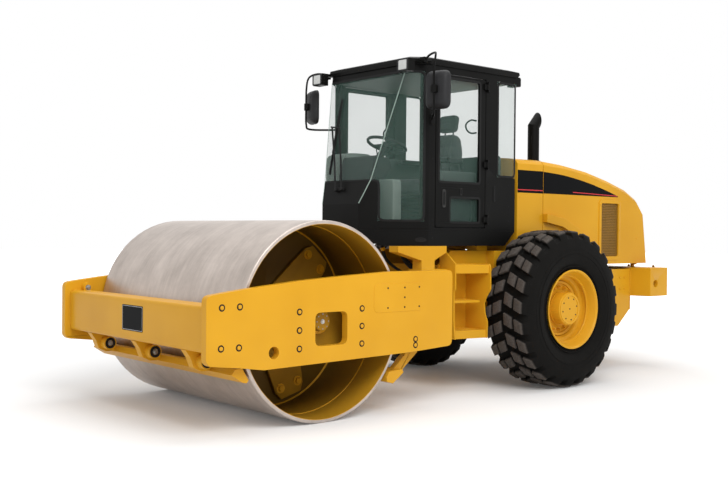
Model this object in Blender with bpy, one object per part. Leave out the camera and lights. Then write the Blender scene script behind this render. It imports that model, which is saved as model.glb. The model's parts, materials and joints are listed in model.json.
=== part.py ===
"""Single-drum vibratory soil compactor, in metres, +Z up.

The machine faces -Y, its left side is +X, and the ground is z = 0. The origin is on the ground under the
middle of its box. A place along the machine is given as "back": its distance rearwards of the drum's axis.
"""
import math

import bmesh
import bpy
from mathutils import Vector

# Fits between pieces
TOUCH = 0.0003
PIN_PLAY = 0.0003
DOOR_GAP = 0.008
PANEL_GAP = 0.006
# How deep joined shapes bite into each other, and how far a cutter runs past what it cuts
BITE = 0.01
OVERRUN = 0.05
SHARP = math.radians(32)

# Drum
DRUM_RADIUS = 0.767
DRUM_HALF = 1.067
DRUM_WALL = 0.030
DRUM_STEPS = 64
HEAD_RECESS = 0.707
HEAD_THICK = 0.030
DRUM_HUB_RADIUS = 0.20
DRUM_HUB_STAND = 0.05
SPINDLE_RADIUS = 0.070
SPIDER_THICK = 0.045
SPIDER_ANGLES = (46, 166, 286)
SPIDER_WAIST = 0.21
# A spider arm's outline: distance from the axis, half width
SPIDER_ARM = ((0.45, 0.16), (0.62, 0.14), (0.685, 0.10))

# Yoke round the drum
PLATE_GAP = 0.023
PLATE_THICK = 0.065
PLATE_ROUNDING = 0.05
PLATE_OVERHANG = 0.24
# The side plate's edges: distance back, height above the drum's axis
PLATE_TOP = ((-0.94, 0.253), (-0.75, 0.275), (-0.30, 0.319), (0.08, 0.343), (0.575, 0.369))
PLATE_FOOT = ((0.83, -0.281), (0.18, -0.294), (-0.61, -0.307), (-0.815, -0.277), (-1.06, -0.247))
PLATE_FRONT_HEIGHTS = (-0.217, 0.233)
PLATE_END_HEIGHTS = (0.369, -0.257)
WINDOW_BACKS = (-0.152, 0.155)
WINDOW_HEIGHTS = (-0.171, 0.079)
TOW_HOLE = (-0.526, -0.190)
TOW_HOLE_RADIUS = 0.045
BEAM_GAP = 0.093
BEAM_SETBACK = 0.045
BEAM_DEPTH = 0.185
BEAM_HEIGHTS = (-0.170, 0.161)
REAR_BEAM_DEPTH = 0.19
REAR_BEAM_HEIGHTS = (-0.167, 0.153)

# Carrier of the drum's bearing, on rubber buffers
BUFFER_LENGTH = 0.16
BUFFER_RADIUS = 0.045
BUFFER_BACKS = (-0.30, 0.30)
BUFFER_HEIGHTS = (-0.177, -0.042, 0.093)
CARRIER_HALF = 0.38
CARRIER_HEIGHTS = (-0.222, 0.163)
CARRIER_THICK = 0.04
BORE_DEPTH = 0.23
# Radius, and place outwards of the carrier plate's inner face
BEARING_HOUSING = ((0, -0.33), (0.13, -0.33), (0.19, -0.20), (0.19, 0.01), (0, 0.01))
BEARING_CAP = ((0, 0), (0.10, 0), (0.10, 0.06), (0.072, 0.075), (0.072, 0.116), (0, 0.116))

# Scrapers: distance behind their beam's front face, height above its foot
FRONT_ARM = ((0.015, 0), (0.145, 0), (0.195, -0.077), (0.245, -0.127), (0.225, -0.162), (0.145, -0.162),
             (0.085, -0.132), (0.055, -0.057))
FRONT_BAR = ((0.21, -0.162), (0.245, -0.121), (0.30, -0.121), (0.355, -0.209), (0.34, -0.23), (0.31, -0.225))
FRONT_ARM_INSET = 0.317
FRONT_ARM_HALF = 0.035
BUSH_PLACE = (0.152, -0.086)
BUSH_RADIUS = 0.055
BUSH_SPAN = (0.03, 0.105)
REAR_ARM = ((0.04, 0), (0.17, 0), (0.15, -0.14), (-0.06, -0.305), (-0.13, -0.275), (0.01, -0.15))
REAR_BLADE = ((-0.20, -0.265), (-0.06, -0.255), (-0.045, -0.285), (-0.16, -0.365), (-0.225, -0.345),
              (-0.23, -0.31))
REAR_ARM_INSET = 0.067
REAR_ARM_MIDDLE = 0.34
REAR_ARM_HALF = 0.03
SCRAPER_END_GAP = 0.012

# Hitch between the yoke and the rear frame
HITCH_STANDOFF = 0.45
HITCH_HALF = 0.16
HITCH_HEIGHT = 0.33
HITCH_LENGTH = 0.24
HITCH_PIN = 0.045
HITCH_PIN_STAND = 0.06
HITCH_LUG = 0.050
HITCH_LUG_GAP = 0.013
BEARING_RADIUS = 0.20
BEARING_SPAN = (-0.10, 0.15)
FLANGE_THICK = 0.05
OSCILLATION_PIN = 0.10
STEER_ARM = 0.30
STEER_ARM_ANGLE = 25
FORK_INSIDE = 0.035
FORK_PLATE = 0.020

# Steering cylinders
CLEVIS_X = 0.24
CLEVIS_REACH = 0.04
CLEVIS_PIN = 0.018
CYLINDER_RADIUS = 0.045
CYLINDER_BOSS = 0.034
ROD_RADIUS = 0.022
ROD_SHOWING = 0.467
ROD_END = 0.33
BORE_END = 0.12

# Wheels
TYRE_RADIUS = 0.74
TYRE_WIDTH = 0.53
TYRE_GAP = 0.02
RIM_RADIUS = 0.373
RIM_LIP = 0.035
RIM_STEPS = 32
HUB_RADIUS = 0.155
LUG_PITCHES = 24
LUG_SHARE = 0.60
LUG_HEIGHT = 0.045
LUG_DRAFT = 0.10
LUG_SKEW = 0.62
AXLE_RADIUS = 0.11
AXLE_FLANGE = 0.18
DIFFERENTIAL_RADIUS = 0.23
HUB_SETBACK = 0.155

# Rear frame, along the machine
NOSE_REACH = 0.26
HITCH_TO_AXLE = 1.40
MID_AHEAD = 0.50
HOOD_TO_TAIL = 1.51
BUMPER_DEPTH = 0.385
# Rear frame, across and up
TAIL_HALF = 0.62
NOSE_INSET = 0.10
NOSE_WINDOW_INSET = 0.10
POST_INSET = 0.14
WEB = 0.025
PLATE = 0.030
FRAME_DROP = 0.277
FRAME_HEIGHT = 0.79
NOSE_FALL = 0.13
TAIL_FALL = 0.21
BEAM_SECTION = 0.06
ENGINE_BEAM_RISE = 0.21
SADDLE_INSET = 0.26
SADDLE_HALF = 0.13
BUMPER_OVERHANG = 0.22
BUMPER_RISE = 0.015
BUMPER_HEIGHT = 0.307
BUMPER_SHOULDER = 0.06
BUMPER_HOLE = 0.040

# Boarding steps: distance out from the nose's side, height above the foot
STEP_CLEARANCE = 0.025
STEP_PLATE = 0.014
FRONT_STEP_PLATE = ((0, 0), (0.20, 0), (0.184, 0.167), (0.182, 0.428), (0.20, 0.449), (0.20, 0.679),
                    (0.07, 0.789), (0, 0.789))
REAR_STEP_PLATE = ((0, 0), (0.267, 0), (0.270, 0.149), (0.240, 0.224), (0.231, 0.313), (0.256, 0.373),
                   (0.307, 0.443), (0.303, 0.652), (0.288, 0.678), (0, 0.678))
# Bottom, top, share of the length, and how far out the front and the rear corner are
TREADS = ((0.001, 0.075, 0.99, 0.185, 0.255), (0.325, 0.347, 0.83, 0.175, 0.220),
          (0.593, 0.671, 0.99, 0.195, 0.292))

# Cab, along the machine
CAB_LEAD = 0.26
DOOR_SETBACK = 0.076
DOOR_WIDTH = 0.659
C_POST = 0.155
REAR_WINDOW_LENGTH = 0.26
FRONT_PANEL_AHEAD = 0.351
# Cab, across and up
CAB_OVERHANG = 0.03
CAB_WALL = 0.05
CAB_SLANT = 39.4
CAB_RISE = 0.047
SKIRT_HEIGHT = 0.14
FLOOR_THICK = 0.027
DOOR_SILL = 0.023
GLASS_SILL = 0.078
WAIST_RISE = 0.433
REAR_WAIST_RISE = 0.503
HEAD_RAIL_RISE = 1.403
ROOF_RAIL = 0.06
ROOF_HEIGHT = 0.073
GLASS = 0.008
DOOR_THICK = 0.032
DOOR_RAIL = 0.05
POST_OVERLAP = 0.03
# Height above the floor, and how far the cab's front face stands ahead of the B post there
CAB_FRONT = ((0.0, 0.482), (0.226, 0.482), (0.433, 0.400), (1.403, 0.168), (1.463, 0.154))
# Cut-away corners under the cab: distance behind the nose or the rear wall, height above the skirt's foot
CHIN = ((-0.068, -0.027), (0.172, -0.027), (0.138, 0.018), (0.067, 0.073), (0.027, 0.113), (-0.068, 0.113))
HEEL = ((-0.15, -0.027), (0.07, -0.027), (0.07, 0.128), (-0.002, 0.128), (-0.12, 0.017))
# Roof: height above the head rail, and how far it overhangs the cab's plan
ROOF = ((TOUCH, 0.012), (0.025, 0.026), (0.050, 0.022), (ROOF_HEIGHT, -0.05))
# A lamp's head and stem: span out from the cab's side, span behind the B post or the rear, span above the top
FRONT_LAMP = (((-0.115, 0.015), (-0.28, -0.20), (-0.085, 0.025)),
              ((-0.075, -0.025), (-0.24, -0.08), (0.010, 0.035)))
REAR_LAMP = (((-0.120, -0.020), (0.012, 0.085), (-0.075, 0.015)),
             ((-0.090, -0.050), (0.005, 0.050), (0.0, 0.035)))
HINGE_RISES = (0.103, 0.613, 1.333)
HINGE_STAND = 0.018
HINGE_SETBACK = 0.003
KNUCKLE_RADIUS = 0.012
KNUCKLE_LENGTH = 0.05
FRAME_KNUCKLE = 0.02
MIRROR_TUBE = 0.011
# Mirror tube: distance out from the cab's side, distance behind the B post, height above the head rail
MIRROR_PATH = ((TOUCH, 0.03, -0.46), (0.03, 0.03, -0.46), (0.15, -0.04, -0.48), (0.215, -0.10, -0.43),
               (0.215, -0.115, -0.33), (0.215, -0.115, 0.01), (0.18, -0.08, 0.07), (0.10, 0.03, 0.04),
               (0.065, 0.06, 0.028), (0.026 + TOUCH, 0.06, 0.028))
MIRROR_OUT = (0.095, 0.335)
MIRROR_HEIGHTS = (-0.42, -0.045)
MIRROR_BACKS = (-0.17, -0.11)

# Inside the cab, as side outlines: distance behind the B post, height above the floor
PEDESTAL = ((0.30, 0), (0.75, 0), (0.78, 0.133), (0.75, 0.333), (0.28, 0.333), (0.26, 0.133))
CUSHION = ((0.18, 0.353), (0.20, 0.333), (0.70, 0.333), (0.70, 0.463), (0.22, 0.483))
BACKREST = ((0.70, 0.333), (0.82, 0.333), (0.90, 0.633), (0.94, 0.983), (0.84, 0.983), (0.76, 0.633))
HEADREST = ((0.83, 0.933), (0.94, 0.933), (0.95, 1.143), (0.85, 1.143))
ARMREST = ((0.48, 0.70), (0.84, 0.70), (0.84, 0.76), (0.48, 0.76))
DASH = ((-0.34, 0), (-0.18, 0), (-0.16, 0.433), (-0.05, 0.583), (-0.10, 0.653), (-0.26, 0.673),
        (-0.31, 0.513))
PEDESTAL_HALF = 0.22
SEAT_HALF = 0.25
BACKREST_HALF = 0.24
HEADREST_HALF = 0.14
ARMREST_SPAN = (0.235, 0.295)
DASH_HALF = 0.22
STEERING_HUB = (0.08, 0.795)
STEERING_SLOPE = 20
STEERING_RADIUS = 0.185
STEERING_TUBE = 0.015
STEERING_SPOKE = 0.018
STEERING_BOSS = 0.05
COLUMN_FOOT = (-0.14, 0.533)
COLUMN_RADIUS = 0.035

# Engine end
COWL_GAP = 0.05
COWL_LENGTH = 0.384
HOOD_OVERHANG = 0.02
HOOD_WALL = 0.030
CROWN_RISE = 0.895
HOOD_RISE = 0.06
TAIL_LEAN = 0.1436
# The crown: distance behind the hood's front, drop below its highest line
CROWN = ((0.0, 0.0), (0.36, 0.025), (0.71, 0.070), (1.06, 0.145), (1.39, 0.235), (1.59, 0.330), (1.70, 0.460))
# Wheel arch and its flare: distance behind the axle, height above it
ARCH = ((0.85, 0.26), (0.80, 0.41), (0.55, 0.56))
ARCH_FRONT_HEIGHT = 0.671
FLARE = ((0.44, 0.775), (0.66, 0.680), (0.88, 0.550), (1.03, 0.420), (1.05, 0.400), (1.10, 0.400),
         (1.085, 0.460), (0.95, 0.620), (0.70, 0.760), (0.46, 0.860))
FLARE_FRONT_HEIGHTS = (0.900, 0.816)
FLARE_STAND = 0.055
GRILLE_SETBACK = 0.95
GRILLE_LENGTH = 0.30
GRILLE_RISE = 0.08
GRILLE_HEIGHT = 0.56
GRILLE_BEAD = 0.038
GRILLE_BEAD_STAND = 0.008
GRILLE_INSET = 0.004
GRILLE_THICK = 0.018
REAR_GRILLE_HALF = 0.50
REAR_GRILLE_RISES = (0.11, 0.49)
LOUVRES = 9
HOOD_PIN = 0.010
HOOD_EAR = 0.020
HOOD_PIN_SETBACK = 0.028
HOOD_PIN_DROP = 0.002
EAR_PLACES = (-0.46, 0.43)
EAR_THICK = 0.03
EXHAUST_RADIUS = 0.060
EXHAUST_X = 0.20
EXHAUST_SETBACK = 0.37
# Exhaust stack: distance behind its foot, height above the crown's highest line
EXHAUST_PATH = ((0.0, -0.085), (0.0, 0.385), (0.03, 0.435), (0.12, 0.525))
ENGINE_HALF = 0.33
ENGINE_BACKS = (0.21, 1.31)
ENGINE_RISE = 0.59

# Places along the machine
YOKE_FRONT = DRUM_RADIUS + BEAM_GAP + BEAM_DEPTH + BEAM_SETBACK
REAR_BEAM_BACK = DRUM_RADIUS + BEAM_GAP
HITCH_BACK = REAR_BEAM_BACK + REAR_BEAM_DEPTH + HITCH_STANDOFF
NOSE_BACK = HITCH_BACK + NOSE_REACH
AXLE_BACK = HITCH_BACK + HITCH_TO_AXLE
MID_BACK = AXLE_BACK - MID_AHEAD
B_POST = NOSE_BACK - CAB_LEAD
DOOR_FRONT = B_POST + DOOR_SETBACK
DOOR_REAR = DOOR_FRONT + DOOR_WIDTH
C_POST_END = DOOR_REAR + C_POST
CAB_REAR = C_POST_END + REAR_WINDOW_LENGTH
COWL_FRONT = CAB_REAR + COWL_GAP
HOOD_FRONT = COWL_FRONT + COWL_LENGTH + PANEL_GAP
TAIL_BACK = HOOD_FRONT + HOOD_TO_TAIL
REAR_REACH = TAIL_BACK + BUMPER_DEPTH
DRUM_Y = (YOKE_FRONT - REAR_REACH) / 2
HITCH_Y = DRUM_Y + HITCH_BACK
AXLE_Y = DRUM_Y + AXLE_BACK

# Places across the machine and heights
NOSE_HALF = TAIL_HALF - NOSE_INSET
HOOD_HALF = TAIL_HALF + HOOD_OVERHANG
CAB_HALF = TAIL_HALF + CAB_OVERHANG
BUMPER_HALF = TAIL_HALF + BUMPER_OVERHANG
TRACK_HALF = HOOD_HALF + TYRE_GAP + TYRE_WIDTH / 2
PLATE_IN = DRUM_HALF + PLATE_GAP
PLATE_OUT = PLATE_IN + PLATE_THICK
CARRIER_X = PLATE_IN - BUFFER_LENGTH
HITCH_Z = DRUM_RADIUS
FRAME_LOW = HITCH_Z - FRAME_DROP
FRAME_TOP = FRAME_LOW + FRAME_HEIGHT
NOSE_TOP = FRAME_TOP - NOSE_FALL
TAIL_TOP = FRAME_TOP - TAIL_FALL
ENGINE_BEAM_LOW = FRAME_LOW + ENGINE_BEAM_RISE
BUMPER_TOP = TAIL_TOP + BUMPER_RISE
BUMPER_LOW = BUMPER_TOP - BUMPER_HEIGHT
SKIRT_LOW = FRAME_TOP + CAB_RISE
CAB_FLOOR = SKIRT_LOW + SKIRT_HEIGHT
DOOR_LOW = CAB_FLOOR + DOOR_SILL
SILL_GLASS = CAB_FLOOR + GLASS_SILL
WAIST = CAB_FLOOR + WAIST_RISE
REAR_WAIST = CAB_FLOOR + REAR_WAIST_RISE
HEAD_RAIL = CAB_FLOOR + HEAD_RAIL_RISE
CAB_TOP = HEAD_RAIL + ROOF_RAIL
CROWN_TOP = FRAME_TOP + CROWN_RISE
HOOD_LOW = TAIL_TOP + HOOD_RISE
DRUM_AXIS = (0.0, DRUM_Y, DRUM_RADIUS)
WHEEL_CENTRE = (TRACK_HALF, AXLE_Y, TYRE_RADIUS)
HOOD_PIVOT = (0.0, DRUM_Y + HOOD_FRONT + CROWN[-1][0] + TAIL_LEAN * (CROWN_TOP - CROWN[-1][1] - HOOD_LOW)
              + HOOD_PIN_SETBACK, HOOD_LOW - HOOD_PIN_DROP)

# Colour, roughness and metallic value of each finish
FINISHES = {
    "yellow": ((0.75, 0.42, 0.04), 0.38, 0.0),
    "black": ((0.02, 0.02, 0.022), 0.50, 0.0),
    "steel": ((0.36, 0.32, 0.29), 0.35, 0.9),
    "chrome": ((0.60, 0.60, 0.62), 0.15, 1.0),
    "rubber": ((0.03, 0.03, 0.03), 0.85, 0.0),
    "glass": ((0.45, 0.60, 0.55), 0.05, 0.0),
    "iron": ((0.12, 0.12, 0.12), 0.60, 0.6),
    "fabric": ((0.06, 0.07, 0.07), 0.90, 0.0),
    "mesh": ((0.20, 0.12, 0.03), 0.60, 0.3),
}

for old in list(bpy.data.objects):
    bpy.data.objects.remove(old)


def back(distance):
    """World y of a place given as a distance rearwards of the drum's axis."""
    return DRUM_Y + distance


def closed_mesh(name, points, faces):
    """A mesh with doubles merged, its faces turned outwards, and its curved faces shaded smooth."""
    mesh = bpy.data.meshes.new(name)
    mesh.from_pydata(points, [], faces)
    shape = bmesh.new()
    shape.from_mesh(mesh)
    bmesh.ops.remove_doubles(shape, verts=shape.verts, dist=1e-6)
    bmesh.ops.recalc_face_normals(shape, faces=shape.faces)
    for face in shape.faces:
        face.smooth = any(0.01 < edge.calc_face_angle(0) < SHARP for edge in face.edges)
    shape.to_mesh(mesh)
    shape.free()
    mesh.set_sharp_from_angle(angle=SHARP)
    return mesh


def finish_of(name, finish):
    """The object's own material, coloured from the named finish."""
    colour, roughness, metallic = FINISHES[finish]
    material = bpy.data.materials.new(name)
    material.use_nodes = True
    shader = material.node_tree.nodes["Principled BSDF"]
    shader.inputs["Base Color"].default_value = (*colour, 1.0)
    shader.inputs["Roughness"].default_value = roughness
    shader.inputs["Metallic"].default_value = metallic
    material.diffuse_color = (*colour, 1.0)
    return material


def join(*shapes):
    """Shapes to be welded on."""
    return [("UNION", shape) for shape in shapes]


def cut(*shapes):
    """Shapes to be cut away."""
    return [("DIFFERENCE", shape) for shape in shapes]


def piece(name, finish, shape, changes=(), pivot=None):
    """One named solid: a first shape, and the joins and cuts made to it in order.

    With a pivot, the object's origin is put there, on its joint's axis.
    """
    body = bpy.data.objects.new(name, closed_mesh(name, *shape))
    body.data.materials.append(finish_of(name, finish))
    bpy.context.scene.collection.objects.link(body)
    for number, (operation, other) in enumerate(changes):
        tool = bpy.data.objects.new(f"{name}_tool_{number}", closed_mesh(name, *other))
        tool.hide_render = True
        tool.display_type = "WIRE"
        bpy.context.scene.collection.objects.link(tool)
        step = body.modifiers.new(tool.name, "BOOLEAN")
        step.operation = operation
        step.solver = "EXACT"
        step.object = tool
    if pivot:
        for vertex in body.data.vertices:
            vertex.co -= Vector(pivot)
        body.location = pivot


def mirrored(shape):
    """The shape on the machine's other side."""
    points, faces = shape
    return [(-x, y, z) for x, y, z in points], faces


def pair(stem, finish, shape, changes=(), pivot=None):
    """A piece modelled for the left side, and its mirror image on the right."""
    piece(f"{stem}_left", finish, shape, changes, pivot)
    piece(f"{stem}_right", finish, mirrored(shape),
          [(operation, mirrored(other)) for operation, other in changes],
          pivot and (-pivot[0], pivot[1], pivot[2]))


def both(*shapes):
    """The shapes of the left side and their mirror images."""
    return [*shapes, *map(mirrored, shapes)]


def box(x_span, y_span, z_span):
    """A box from its three spans."""
    points = [(x, y, z) for x in x_span for y in y_span for z in z_span]
    faces = [(0, 1, 3, 2), (4, 6, 7, 5), (0, 4, 5, 1), (2, 3, 7, 6), (0, 2, 6, 4), (1, 5, 7, 3)]
    return points, faces


def on_axis(axis, first, second, along):
    """A 3-D point from its two coordinates across an axis and its place along it."""
    return {"x": (along, first, second), "y": (first, along, second), "z": (first, second, along)}[axis]


def prism(outline, axis, low, high):
    """An outline across an axis, extruded along it from low to high."""
    count = len(outline)
    points = [on_axis(axis, u, v, along) for along in (low, high) for u, v in outline]
    sides = [(i, (i + 1) % count, count + (i + 1) % count, count + i) for i in range(count)]
    return points, [tuple(range(count)), tuple(range(2 * count - 1, count - 1, -1)), *sides]


def loft(rings):
    """A closed skin through rings of equally many points, capped at both ends."""
    count = len(rings[0])
    points = [point for ring in rings for point in ring]
    faces = [tuple(range(count)), tuple(range(len(points) - 1, len(points) - count - 1, -1))]
    for start in range(0, len(points) - count, count):
        for i in range(count):
            j = (i + 1) % count
            faces.append((start + i, start + j, start + count + j, start + count + i))
    return points, faces


def turned(profile, axis, centre, steps):
    """A loop of (radius, place along the axis) turned once round an axis through the centre."""
    first_of, second_of, along_of = {"x": (1, 2, 0), "y": (0, 2, 1), "z": (0, 1, 2)}[axis]
    count = len(profile)
    points, faces = [], []
    for step in range(steps):
        angle = 2 * math.pi * step / steps
        here, there = step * count, (step + 1) % steps * count
        for i, (radius, along) in enumerate(profile):
            first = centre[first_of] + radius * math.cos(angle)
            second = centre[second_of] + radius * math.sin(angle)
            points.append(on_axis(axis, first, second, centre[along_of] + along))
            j = (i + 1) % count
            faces.append((here + i, here + j, there + j, there + i))
    return points, faces


def rod(axis, centre, radius, low, high, steps=24):
    """A round bar along an axis, from low to high measured from the centre."""
    return turned([(0, low), (radius, low), (radius, high), (0, high)], axis, centre, steps)


def bore_radius(radius, steps=24):
    """The radius of a faceted bore in which a faceted pin turns with the pin's play."""
    return (radius + PIN_PLAY) / math.cos(math.pi / steps)


def rounded(corners, radius, steps=4):
    """An outline whose corners are rounded, each no more than its sides allow."""
    outline = []
    for i, corner in enumerate(corners):
        corner = Vector(corner)
        into = Vector(corners[i - 1]) - corner
        out = Vector(corners[(i + 1) % len(corners)]) - corner
        angle = into.angle(out)
        if angle > math.radians(165):
            outline.append(tuple(corner))
            continue
        reach = min(radius / math.tan(angle / 2), 0.45 * into.length, 0.45 * out.length)
        start, end = corner + into.normalized() * reach, corner + out.normalized() * reach
        for step in range(steps + 1):
            t = step / steps
            outline.append(tuple((1 - t) ** 2 * start + 2 * t * (1 - t) * corner + t * t * end))
    return outline


def rectangle(u_span, v_span):
    """The four corners of a rectangle, in order."""
    return [(u_span[0], v_span[0]), (u_span[1], v_span[0]), (u_span[1], v_span[1]), (u_span[0], v_span[1])]


def backs(outline, start=0.0, foot=0.0):
    """A side outline of (distance, height), measured from a start and a foot, as world y and z."""
    return [(back(start + distance), foot + height) for distance, height in outline]


def tube(path, radius, steps=8):
    """A round tube along a path of points, with its rings square to the path and mitred at its bends."""
    places = [Vector(point) for point in path]
    rings = []
    side = None
    for i, place in enumerate(places):
        before = (place - places[i - 1]).normalized() if i else None
        after = (places[i + 1] - place).normalized() if i < len(places) - 1 else None
        along = ((before or after) + (after or before)).normalized()
        side = along.orthogonal() if side is None else side
        side = (side - along * side.dot(along)).normalized()
        across = radius / math.sqrt(max(0.5, along.dot(after or before)))
        turns = [2 * math.pi * step / steps for step in range(steps)]
        rings.append([tuple(place + (side * math.cos(turn) + along.cross(side) * math.sin(turn)) * across)
                      for turn in turns])
    return loft(rings)


def drum():
    """The shell, and a recessed head at each end with its hub, three-armed spider and spindle."""
    inner = DRUM_RADIUS - DRUM_WALL
    chamfer = DRUM_WALL / 5
    profile = [(inner, -DRUM_HALF), (DRUM_RADIUS - chamfer, -DRUM_HALF), (DRUM_RADIUS, -DRUM_HALF + chamfer),
               (DRUM_RADIUS, DRUM_HALF - chamfer), (DRUM_RADIUS - chamfer, DRUM_HALF), (inner, DRUM_HALF)]
    piece("drum_shell", "steel", turned(profile, "x", DRUM_AXIS, DRUM_STEPS), pivot=DRUM_AXIS)

    face = DRUM_HALF - HEAD_RECESS
    rim = inner - TOUCH
    spider_face = face + SPIDER_THICK
    hub_end = spider_face + DRUM_HUB_STAND
    spindle_end = CARRIER_X - BORE_DEPTH + 0.10
    disc = turned([(0, face - HEAD_THICK), (rim, face - HEAD_THICK), (rim, face), (0, face)], "x", DRUM_AXIS,
                  DRUM_STEPS)
    hub = turned([(0, face - BITE), (DRUM_HUB_RADIUS, face - BITE), (DRUM_HUB_RADIUS, hub_end),
                  (SPINDLE_RADIUS, hub_end),
                  (SPINDLE_RADIUS, spindle_end), (0, spindle_end)], "x", DRUM_AXIS, 24)
    star = []
    for turn in SPIDER_ANGLES:
        cosine, sine = math.cos(math.radians(turn)), math.sin(math.radians(turn))
        half = [(out, -across) for out, across in SPIDER_ARM]
        half += [(out, across) for out, across in reversed(SPIDER_ARM)]
        for out, across in half:
            star.append((DRUM_Y + out * cosine - across * sine, DRUM_RADIUS + out * sine + across * cosine))
        between = math.radians(turn + 60)
        star.append((DRUM_Y + SPIDER_WAIST * math.cos(between),
                     DRUM_RADIUS + SPIDER_WAIST * math.sin(between)))
    spider = prism(star, "x", face - BITE / 2, spider_face)
    pair("drum_head", "yellow", disc, join(spider, hub), DRUM_AXIS)


def yoke_plates():
    """A thick plate on each side of the drum, with the hub's window and a tow hole."""
    end = REAR_BEAM_BACK + REAR_BEAM_DEPTH + PLATE_OVERHANG
    front_edge = [(-YOKE_FRONT, height) for height in PLATE_FRONT_HEIGHTS]
    outline = [*front_edge, *PLATE_TOP, *((end, height) for height in PLATE_END_HEIGHTS), *PLATE_FOOT]
    plate = prism(rounded(backs(outline, 0.0, DRUM_RADIUS), PLATE_ROUNDING), "x", PLATE_IN, PLATE_OUT)
    through = (PLATE_IN - OVERRUN, PLATE_OUT + OVERRUN)
    window = rounded(backs(rectangle(WINDOW_BACKS, WINDOW_HEIGHTS), 0.0, DRUM_RADIUS), PLATE_ROUNDING)
    tow_hole = rod("x", (0, back(TOW_HOLE[0]), DRUM_RADIUS + TOW_HOLE[1]), TOW_HOLE_RADIUS, *through, 16)
    pair("yoke_side", "yellow", plate, cut(prism(window, "x", *through), tow_hole))


def drum_carriers():
    """A plate on buffers behind each window, with the bearing housing in which the drum's spindle turns."""
    outline = rounded(backs(rectangle((-CARRIER_HALF, CARRIER_HALF), CARRIER_HEIGHTS), 0.0, DRUM_RADIUS),
                      0.04)
    buffers = [rod("x", (0, back(place), DRUM_RADIUS + height), BUFFER_RADIUS, CARRIER_X + CARRIER_THICK / 2,
                   PLATE_IN - TOUCH, 10) for place in BUFFER_BACKS for height in BUFFER_HEIGHTS]
    housing, cap = ([(radius, CARRIER_X + along) for radius, along in profile]
                    for profile in (BEARING_HOUSING, BEARING_CAP))
    bore = rod("x", DRUM_AXIS, bore_radius(SPINDLE_RADIUS), housing[0][1] - OVERRUN,
               housing[0][1] + BORE_DEPTH)
    pair("drum_carrier", "yellow", prism(outline, "x", CARRIER_X, CARRIER_X + CARRIER_THICK),
         join(turned(housing, "x", DRUM_AXIS, 20), turned(cap, "x", DRUM_AXIS, 16), *buffers) + cut(bore))


def yoke_beams():
    """The two cross beams between the side plates; the rear one carries the oscillation bearing."""
    half = PLATE_IN - TOUCH
    face = BEAM_SETBACK - YOKE_FRONT
    front = rounded(backs(rectangle((face, face + BEAM_DEPTH), BEAM_HEIGHTS), 0.0, DRUM_RADIUS), 0.03)
    piece("yoke_front_beam", "yellow", prism(front, "x", -half, half))
    rear_face = REAR_BEAM_BACK + REAR_BEAM_DEPTH
    rear = rounded(backs(rectangle((REAR_BEAM_BACK, rear_face), REAR_BEAM_HEIGHTS), 0.0, DRUM_RADIUS), 0.02)
    centre = (0, back(rear_face), HITCH_Z)
    bearing = rod("y", centre, BEARING_RADIUS, *BEARING_SPAN)
    bore = rod("y", centre, bore_radius(OSCILLATION_PIN), BEARING_SPAN[0] + 0.02, BEARING_SPAN[1] + OVERRUN)
    piece("yoke_rear_beam", "yellow", prism(rear, "x", -half, half), join(bearing) + cut(bore))


def scrapers():
    """Bars that clean the drum, each on arms that hang under its beam."""
    start, foot = BEAM_SETBACK - YOKE_FRONT, DRUM_RADIUS + BEAM_HEIGHTS[0] - TOUCH
    half = DRUM_HALF + SCRAPER_END_GAP
    places = (FRONT_ARM_INSET - DRUM_HALF, 0.0, DRUM_HALF - FRONT_ARM_INSET)
    arms = [prism(backs(FRONT_ARM, start, foot), "x", place - FRONT_ARM_HALF, place + FRONT_ARM_HALF)
            for place in places]
    bushes = [rod("x", (place, back(start + BUSH_PLACE[0]), foot + BUSH_PLACE[1]), BUSH_RADIUS, *BUSH_SPAN,
                  16)
              for place in places]
    piece("front_scraper", "yellow", prism(backs(FRONT_BAR, start, foot), "x", -half, half),
          join(*arms, *bushes))
    foot = DRUM_RADIUS + REAR_BEAM_HEIGHTS[0] - TOUCH
    arms = [prism(backs(REAR_ARM, REAR_BEAM_BACK, foot), "x", place - REAR_ARM_HALF, place + REAR_ARM_HALF)
            for place in (REAR_ARM_INSET - DRUM_HALF, -REAR_ARM_MIDDLE, REAR_ARM_MIDDLE,
                          DRUM_HALF - REAR_ARM_INSET)]
    piece("rear_scraper", "yellow", prism(backs(REAR_BLADE, REAR_BEAM_BACK, foot), "x", -half, half),
          join(*arms))


def steer_eye():
    """World x and y of the left fork's eye."""
    angle = math.radians(-STEER_ARM_ANGLE)
    return STEER_ARM * math.cos(angle), HITCH_Y + STEER_ARM * math.sin(angle)


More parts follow.
